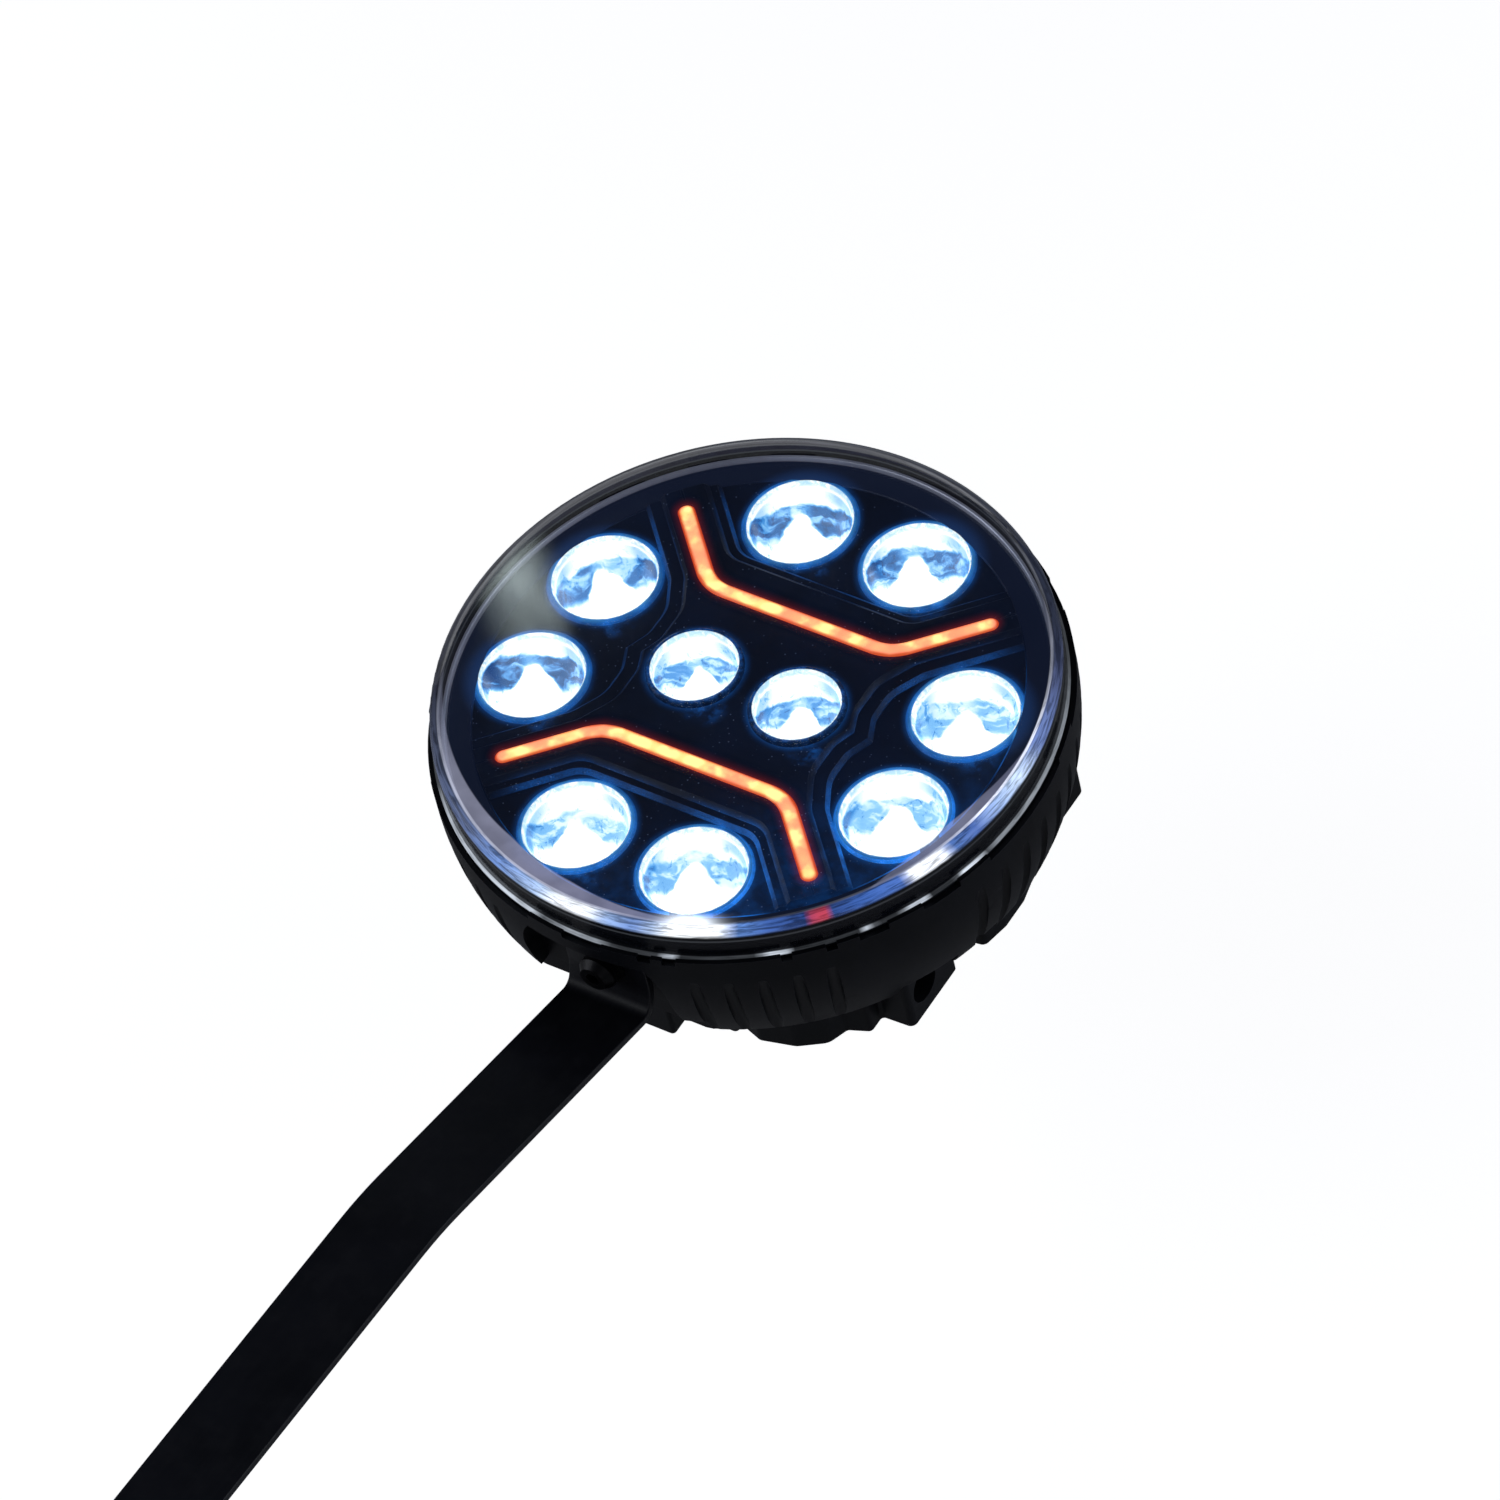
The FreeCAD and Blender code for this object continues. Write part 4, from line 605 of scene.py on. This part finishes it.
def cover_material():
    """Clear on top, near-black on shoulder, wall and flange, with mirrored and piped lights painted in.
    """
    tree = material_tree("clear_cover")
    point = tree.lamp_point()
    x, y, z = tree.split(point)
    radius = tree.measure("LENGTH", tree.combine(x, y, 0.0))
    normal = tree.bump(tree.noise(point, scale=0.035, detail=1.0), strength=0.02, distance=0.0006)
    clear = clear_plastic(tree, point, normal)
    turn, seen_radius = seen_behind(tree, point)
    view = camera_view(tree)

    # zones of the cover, from radii and heights in mm
    outer_skin = z.fade(6.4, 6.6).maximum(radius.fade(107.9, 108.1))
    top = z.fade(8.30, 8.42) * radius.fade(107.2, 106.6)
    shoulder = radius.fade(106.3, 107.7) * z.fade(4.2, 6.2) * outer_skin
    crease = radius.fade(105.8, 106.2) * radius.fade(107.2, 106.8) * outer_skin
    flange = (radius.fade(109.9, 110.2) * z.fade(-4.6, -5.0)).maximum(radius.fade(110.3, 110.6))
    wall = radius.fade(106.6, 107.6) * z.fade(6.4, 4.6)

    # soft lights mirrored beside the shoulder
    inner_edge = 90.0 + level_around(tree, turn, CRESCENT_INNER_EDGE) * 20.0
    crescent = (seen_radius - inner_edge).fade(0.0, 0.7) * top
    cloud = tree.noise(point, scale=0.07, detail=3.0, rough=0.5).fade(0.3, 0.7, to=(0.62, 0.90))
    crescent_light = tree.scale(color_around(tree, turn, CRESCENT_COLORS), crescent * cloud)
    white, red = top_streaks(tree, turn, seen_radius, top)
    # rounded shoulder, with a fine light line where the flat top turns into it
    grain = tree.noise(tree.combine(turn * 46.0, (z - radius) * 0.55, 0.0),
                       scale=1.0, detail=4.0, rough=0.6, distortion=1.2)
    shoulder_light = tree.scale(color_around(tree, turn, SHOULDER_COLORS),
                                shoulder * grain.fade(0.34, 0.62, to=(0.42, 1.25)))
    crease = crease * (level_around(tree, turn, CREASE_LEVELS)
                       * grain.fade(0.34, 0.62, to=(0.5, 1.15)))
    shoulder_light = tree.vector("ADD", shoulder_light, tree.scale((0.80, 0.84, 0.98), crease))
    # a plain piped-light line on the shoulder for every other direction
    angle = y.arctan2(x)
    streak = tree.noise(tree.combine(angle.cosine() * 3.0, angle.sine() * 3.0, z * 0.05),
                        scale=2.6, detail=4.0, rough=0.7)
    plain_light = tree.scale((0.10, 0.13, 0.20), (1.0 - view)
                             * (shoulder * streak.fade(0.35, 0.7, to=(0.3, 1.6))))
    # flange lit from inside where the rim's windows show it
    line = (level_around(tree, turn, FLANGE_LEVELS) * flange
            * (grain.fade(0.3, 0.7, to=(0.55, 1.2)) * z.fade(-6.6, -5.8)))
    # painted highlight along a faint moulding line on the wall
    moulding_line_highlight = wall * abs(z - 2.7).fade(0.6, 0.25, to=(0.0, 0.035))

    streaks = tree.glow(((0.95, 1.02, 1.1), white), ((0.50, 0.05, 0.07), red))
    mirrored = tree.vector("ADD", crescent_light, tree.vector("ADD", shoulder_light, streaks))
    emit = tree.vector("ADD", tree.scale(mirrored, view), plain_light)
    emit = tree.vector("ADD", emit, tree.scale((0.80, 0.88, 1.0), line + moulding_line_highlight))

    # near-black, nearly opaque shader on the shoulder, wall and flange; seen from the camera's side,
    # also under the painted crescent reflections
    dark_cover_amount = (shoulder * 0.80).maximum((wall * 0.86).maximum(flange * 0.9))
    dark_cover_amount = dark_cover_amount.maximum(crescent * view * 0.35)
    near_black_shader = tree.principled(color=(0.006, 0.007, 0.011), rough=0.22, normal=normal, spec=0.12)
    body = tree.shader("ShaderNodeMixShader", {0: dark_cover_amount, 1: clear, 2: near_black_shader})
    light = tree.shader("ShaderNodeEmission", {"Color": emit, "Strength": 1.0})
    return tree.done(tree.shader("ShaderNodeAddShader", {0: body, 1: light}))


assign(["lens_cover"], cover_material())


# ------------------------------------------------------------------ bezel ring
def bezel_material():
    """Turned metal lip around a near-black flat, both lit by the cups."""
    tree = material_tree("trim_ring")
    point = tree.lamp_point()
    x, y, z = tree.split(point)
    angle = y.arctan2(x)
    radius = tree.measure("LENGTH", tree.combine(x, y, 0.0))
    turned = tree.noise(tree.combine(radius * 2.2, z * 2.2, 0.0), scale=1.6, detail=3.0, rough=0.7)
    patch = tree.noise(tree.combine(angle.cosine() * 2.0, angle.sine() * 2.0, 0.0),
                       scale=1.7, detail=4.0, rough=0.65)
    lip = radius.fade(104.9, 105.4)
    metal_color = tree.mix(patch, (0.28, 0.29, 0.33), (0.46, 0.47, 0.54))
    flat_color = tree.mix(patch, (0.004, 0.005, 0.010), (0.008, 0.010, 0.018))
    gap = cup_gap(tree, point)
    near_cup = gap.fade(12.0, 3.0, kind="LINEAR") ** 1.4
    # painted light: the lip glows, more near a cup, the flat glows blue near the cups, and a faint blue
    # glow is added everywhere
    lip_glow = lip * (0.02 + patch * 0.13 + near_cup * 0.16)
    flat_glow = (1.0 - lip) * (gap.fade(8.0, 1.0) * 0.10)
    emit = tree.glow(((0.76, 0.78, 0.95), lip_glow), ((0.05, 0.22, 0.8), flat_glow))
    return tree.done(tree.principled(
        color=tree.mix(lip, flat_color, metal_color), metal=lip * 0.85, rough=0.26 + turned * 0.16,
        normal=tree.bump(turned, strength=0.15, distance=0.0001), spec=0.35,
        emit=tree.vector("ADD", emit, (0.0035, 0.0065, 0.020)), emit_strength=1.0))


assign(["bezel_ring"], bezel_material())


# ------------------------------------------------------------------ general finishes
def finish(name, pieces, base, second, rough=0.5, rough_range=0.12, metal=0.0, spec=0.5, grain=0.5,
           bump=0.12, edge=0.0, edge_color=(0.2, 0.2, 0.21), edge_radius=0.0007, patch=28.0,
           brushed=None, dust=0.0, speck=0.0):
    """Patches of two colors, grain in roughness and bump, optional brushing, specks, dust and wear.

    grain and patch are sizes in mm, edge_radius is in m, brushed is the noise scale along x, y, z;
    edge, dust and speck are strengths.
    """
    tree = material_tree(name)
    point = tree.lamp_point()
    big = tree.noise(point, scale=1.0 / patch, detail=4.0, rough=0.6)
    fine = tree.noise(point, scale=1.0 / grain, detail=3.0, rough=0.6)
    color = tree.mix(big.fade(0.35, 0.68), base, second)
    roughness = (rough - rough_range / 2) + (big + fine) * (rough_range / 2)
    height = fine
    if brushed:
        lines = tree.noise(tree.vector("MULTIPLY", point, brushed), scale=1.0, detail=3.0, rough=0.65)
        roughness = roughness + (lines - 0.5) * (rough_range * 1.5)
        height = fine * 0.4 + lines
        color = tree.mix(lines.fade(0.45, 0.75, to=(0.0, 0.5)), color, second)
    if speck:
        dots = (tree.cell_distance(point, scale=0.55).fade(0.10, 0.04)
                * tree.noise(point, scale=0.12, detail=2.0).fade(0.5, 0.62))
        color = tree.mix(dots * speck, color, (0.35, 0.37, 0.42))
    if dust:
        upward = tree.split(tree.geometry("Normal"))[2].fade(0.2, 1.0)
        spread = upward * tree.noise(point, scale=0.09, detail=5.0, rough=0.7).fade(0.42, 0.75)
        color = tree.mix(spread * dust, color, (0.22, 0.22, 0.23))
        roughness = roughness + spread * (dust * 0.6)
    if edge:
        wear = tree.noise(point, scale=0.45, detail=4.0, rough=0.7).fade(0.34, 0.62, to=(0.25, 1.0))
        lightened_edges = tree.edges(edge_radius) * wear
        color = tree.mix(lightened_edges * edge, color, edge_color)
        roughness = tree.math("SUBTRACT", roughness, lightened_edges * 0.12, clamp=True)
    assign(pieces, tree.done(tree.principled(
        color=color, metal=metal, rough=roughness, spec=spec, coat=0.0, coat_rough=0.15,
        normal=tree.bump(height, strength=bump, distance=0.00008))))


def collar_material():
    """Gloss black collar, blue where the cup beside it spills light on it."""
    tree = material_tree("gloss_black_collar")
    point = tree.lamp_point()
    fleck = tree.noise(point, scale=0.35, detail=4.0, rough=0.65)
    spill = cup_gap(tree, point).fade(2.6, 0.3) * fleck.fade(0.35, 0.65, to=(0.25, 1.0))
    return tree.done(tree.principled(
        color=tree.mix(fleck, (0.004, 0.006, 0.012), (0.008, 0.011, 0.020)),
        rough=fleck.fade(0.3, 0.7, to=(0.18, 0.30)), spec=0.35,
        normal=tree.bump(tree.noise(point, scale=2.2, detail=3.0), strength=0.1, distance=0.0001),
        emit=tree.scale((0.010, 0.085, 0.34), spill), emit_strength=1.0))


# body, arm and pivot
finish("black_powder_coat", ["housing"], (0.0024, 0.0029, 0.0050), (0.0050, 0.0058, 0.0090),
       rough=0.46, rough_range=0.16, spec=0.18, grain=0.55, bump=0.22, edge=0.35,
       edge_color=(0.06, 0.065, 0.08), dust=0.02)
finish("rear_cover_coat", ["rear_cover"], (0.006, 0.0065, 0.009), (0.011, 0.012, 0.016),
       rough=0.5, rough_range=0.16, spec=0.38, grain=0.6, bump=0.22, edge=0.4,
       edge_color=(0.08, 0.085, 0.1))
finish("black_coated_steel", ["mounting_arm"], (0.0045, 0.0050, 0.0085), (0.0095, 0.0105, 0.017),
       rough=0.44, rough_range=0.18, spec=0.36, grain=0.7, bump=0.16, edge=0.55,
       edge_color=(0.10, 0.12, 0.17), brushed=(1.1, 0.03, 0.03), dust=0.03, patch=55.0)
finish("black_oxide", ["pivot_bolt", "pivot_washer", "pivot_spring_washer", "face_plate_screws"],
       (0.006, 0.006, 0.007), (0.014, 0.014, 0.016), rough=0.38, rough_range=0.16, metal=0.6,
       spec=0.4, grain=0.35, bump=0.15, edge=0.5, edge_color=(0.10, 0.10, 0.11), edge_radius=0.0004)
finish("friction_ring", ["pivot_friction_washer"], (0.018, 0.017, 0.016), (0.04, 0.036, 0.03),
       rough=0.78, spec=0.25, grain=0.45, bump=0.4)
finish("turned_steel", ["pivot_bushing"], (0.45, 0.45, 0.46), (0.6, 0.6, 0.6),
       rough=0.28, metal=1.0, grain=0.4, bump=0.1, brushed=(0.2, 2.5, 0.2))
finish("gasket_rubber", ["lens_gasket", "rear_cover_gasket"], (0.006, 0.006, 0.006),
       (0.014, 0.014, 0.014), rough=0.7, spec=0.3, grain=0.6, bump=0.3)
assign(["inner_collar_1", "inner_collar_2"], collar_material())

# boards and what is on them
finish("white_board", ["amber_led_board_upper", "amber_led_board_lower", "led_board"],
       (0.72, 0.72, 0.70), (0.82, 0.82, 0.80), rough=0.42, spec=0.45, grain=0.8, bump=0.08, patch=9.0)
finish("zinc_plate", ["amber_board_screws", "led_board_screws", "driver_screws"],
       (0.5, 0.5, 0.52), (0.66, 0.65, 0.62), rough=0.34, rough_range=0.2, metal=1.0, grain=0.6,
       bump=0.1, edge=0.3, edge_color=(0.8, 0.8, 0.8), edge_radius=0.0003)
finish("thermal_pad", ["thermal_pad"], (0.32, 0.36, 0.42), (0.40, 0.44, 0.50),
       rough=0.85, spec=0.2, grain=0.5, bump=0.4)
finish("green_board", ["driver_board"], (0.012, 0.10, 0.035), (0.02, 0.16, 0.06),
       rough=0.35, spec=0.5, grain=0.6, bump=0.1, patch=6.0, speck=0.5)
finish("ferrite", ["driver_inductor"], (0.05, 0.05, 0.052), (0.09, 0.09, 0.09),
       rough=0.75, spec=0.25, grain=0.35, bump=0.5)
finish("capacitor_can", ["driver_capacitors"], (0.02, 0.025, 0.07), (0.04, 0.05, 0.12),
       rough=0.3, spec=0.5, grain=0.8, bump=0.06)
finish("moulded_resin", ["driver_chips"], (0.012, 0.012, 0.012), (0.025, 0.025, 0.025),
       rough=0.6, spec=0.35, grain=0.3, bump=0.25)

# rear fittings, cable and wires
finish("stainless", ["rear_cover_screws"], (0.42, 0.42, 0.43), (0.56, 0.56, 0.57),
       rough=0.3, rough_range=0.15, metal=1.0, grain=0.4, bump=0.1, brushed=(2.2, 0.2, 0.2),
       edge=0.4, edge_color=(0.75, 0.75, 0.76), edge_radius=0.0003)
finish("vent_plastic", ["breather_vent"], (0.012, 0.012, 0.013), (0.022, 0.022, 0.024),
       rough=0.58, spec=0.38, grain=0.6, bump=0.25, edge=0.3)
finish("black_nylon", ["cable_gland_body", "cable_gland_nut", "plug_shell", "plug_insert"],
       (0.008, 0.008, 0.009), (0.016, 0.016, 0.018), rough=0.55, spec=0.4, grain=0.9, bump=0.25,
       edge=0.25)
finish("black_rubber", ["cable_gland_seal", "wire_grommet"], (0.009, 0.009, 0.009),
       (0.02, 0.02, 0.02), rough=0.72, spec=0.3, grain=0.7, bump=0.3)
finish("cable_jacket", ["power_cable"], (0.008, 0.008, 0.009), (0.018, 0.018, 0.019),
       rough=0.48, spec=0.42, grain=0.8, bump=0.2, brushed=(0.3, 0.3, 0.3), dust=0.08)
finish("plated_pins", ["plug_pins"], (0.62, 0.60, 0.55), (0.75, 0.72, 0.64),
       rough=0.25, metal=1.0, grain=0.3, bump=0.08)
for name, piece, base, second in (
        ("wire_insulation", "supply_wires", (0.25, 0.012, 0.01), (0.35, 0.02, 0.015)),
        ("black_wire_insulation", "led_wires", (0.010, 0.010, 0.011), (0.02, 0.02, 0.021)),
        ("yellow_wire_insulation", "amber_wires", (0.50, 0.32, 0.02), (0.62, 0.42, 0.04))):
    finish(name, [piece], base, second, rough=0.45, spec=0.45, grain=0.5, bump=0.15)


# ------------------------------------------------------------------ floor, world and lights
def staged_grid(name, segments, size, location, rotation=(0, 0, 0), scale=(1, 1, 1)):
    """A flat grid that belongs to the stage; size is half its side."""
    grid = bmesh.new()
    bmesh.ops.create_grid(grid, x_segments=segments, y_segments=segments, size=size)
    mesh = bpy.data.meshes.new(name)
    grid.to_mesh(mesh)
    grid.free()
    staged = bpy.data.objects.new(name, mesh)
    staged.location = location
    staged.rotation_euler = rotation
    staged.scale = scale
    scene.collection.objects.link(staged)
    return staged


def floor_material():
    """Pale floor that also glows to the camera, so it shows almost white."""
    tree = material_tree("pale_floor")
    tone = tree.noise(tree.object_point(), scale=3.0, detail=3.0)
    diffuse = tree.shader("ShaderNodeBsdfDiffuse",
                          {"Color": tree.mix(tone, (0.80, 0.80, 0.80), (0.84, 0.84, 0.84))})
    away = tree.measure("LENGTH", tree.object_point()).fade(0.7, 2.2, to=(0.86, 1.0))
    light = tree.shader("ShaderNodeEmission",
                        {"Color": (1, 1, 1), "Strength": tree.camera_ray() * away})
    return tree.done(tree.shader("ShaderNodeAddShader", {0: diffuse, 1: light}))


def add_world():
    """White to the camera; a dim gradient, darker upwards, to everything else."""
    scene.world = bpy.data.worlds.new("studio")
    tree = Tree(scene.world, "ShaderNodeOutputWorld")
    height = tree.split(tree.node("ShaderNodeTexCoord").outputs["Generated"])[2]
    gradient = tree.ramp(height, [(0.0, (0.10, 0.105, 0.13)), (0.35, (0.06, 0.066, 0.085)),
                                  (0.62, (0.020, 0.022, 0.030))])
    dim = tree.shader("ShaderNodeBackground", {"Color": gradient, "Strength": 1.0})
    white = tree.shader("ShaderNodeBackground", {"Color": (1, 1, 1), "Strength": 1.0})
    tree.done(tree.shader("ShaderNodeMixShader", {0: tree.camera_ray(), 1: dim, 2: white}))


def softbox(name, direction, distance, size, power, color):
    """Rectangular light that faces the lamp from a direction; sizes in m, power in W."""
    data = bpy.data.lights.new(name, "AREA")
    data.shape = "RECTANGLE"
    data.size, data.size_y = size
    data.energy = power
    data.color = color
    light = bpy.data.objects.new(name, data)
    outward = Vector(direction).normalized()
    light.location = row_point(0, 0, -20) + outward * distance
    light.rotation_euler = (-outward).to_track_quat("-Z", "Y").to_euler()
    scene.collection.objects.link(light)


def smoke_card_material():
    tree = material_tree("smoke_card")
    point = tree.object_point()
    falloff = tree.measure("LENGTH", point).fade(0.48, 0.05)
    cloud = tree.noise(point, scale=2.2, detail=2.0, rough=0.5).fade(0.35, 0.7, to=(0.45, 1.0))
    light = tree.shader("ShaderNodeEmission",
                        {"Color": (0.82, 0.96, 0.95), "Strength": falloff * cloud * 4.2})
    clear = tree.shader("ShaderNodeBsdfTransparent")
    return tree.done(tree.shader("ShaderNodeAddShader", {0: light, 1: clear}))


def add_smoke_card():
    """A dim card whose reflection is the smoky patch on the clear cover."""
    mirrored = Vector((-CAMERA_BACK.x, -CAMERA_BACK.y, CAMERA_BACK.z))
    patch_place = row_point(-100.0, 2.5, 8.5)
    card = staged_grid("smoke_card", segments=10, size=0.5, location=patch_place + mirrored * 0.30,
                       rotation=mirrored.to_track_quat("Z", "Y").to_euler(),
                       scale=(0.042, 0.070, 1.0))
    card.visible_camera = False
    card.visible_diffuse = False
    card.visible_shadow = False
    card.visible_transmission = False
    card.data.materials.append(smoke_card_material())


floor = staged_grid("floor", segments=8, size=6.0, location=(0.0, 0.3, CAD_BOX[0].z - FLOOR_DROP))
floor.data.materials.append(floor_material())
add_world()
softbox("soft_left", direction=(-0.80, -0.55, 0.42), distance=1.6, size=(1.2, 1.0), power=6.0,
        color=(0.92, 0.95, 1.0))
softbox("soft_right", direction=(0.90, 0.35, 0.25), distance=1.6, size=(0.9, 1.0), power=6.0,
        color=(0.90, 0.94, 1.0))
softbox("soft_front", direction=(0.35, -0.85, 0.20), distance=1.8, size=(1.4, 0.7), power=1.2,
        color=(1.0, 1.0, 1.0))
add_smoke_card()
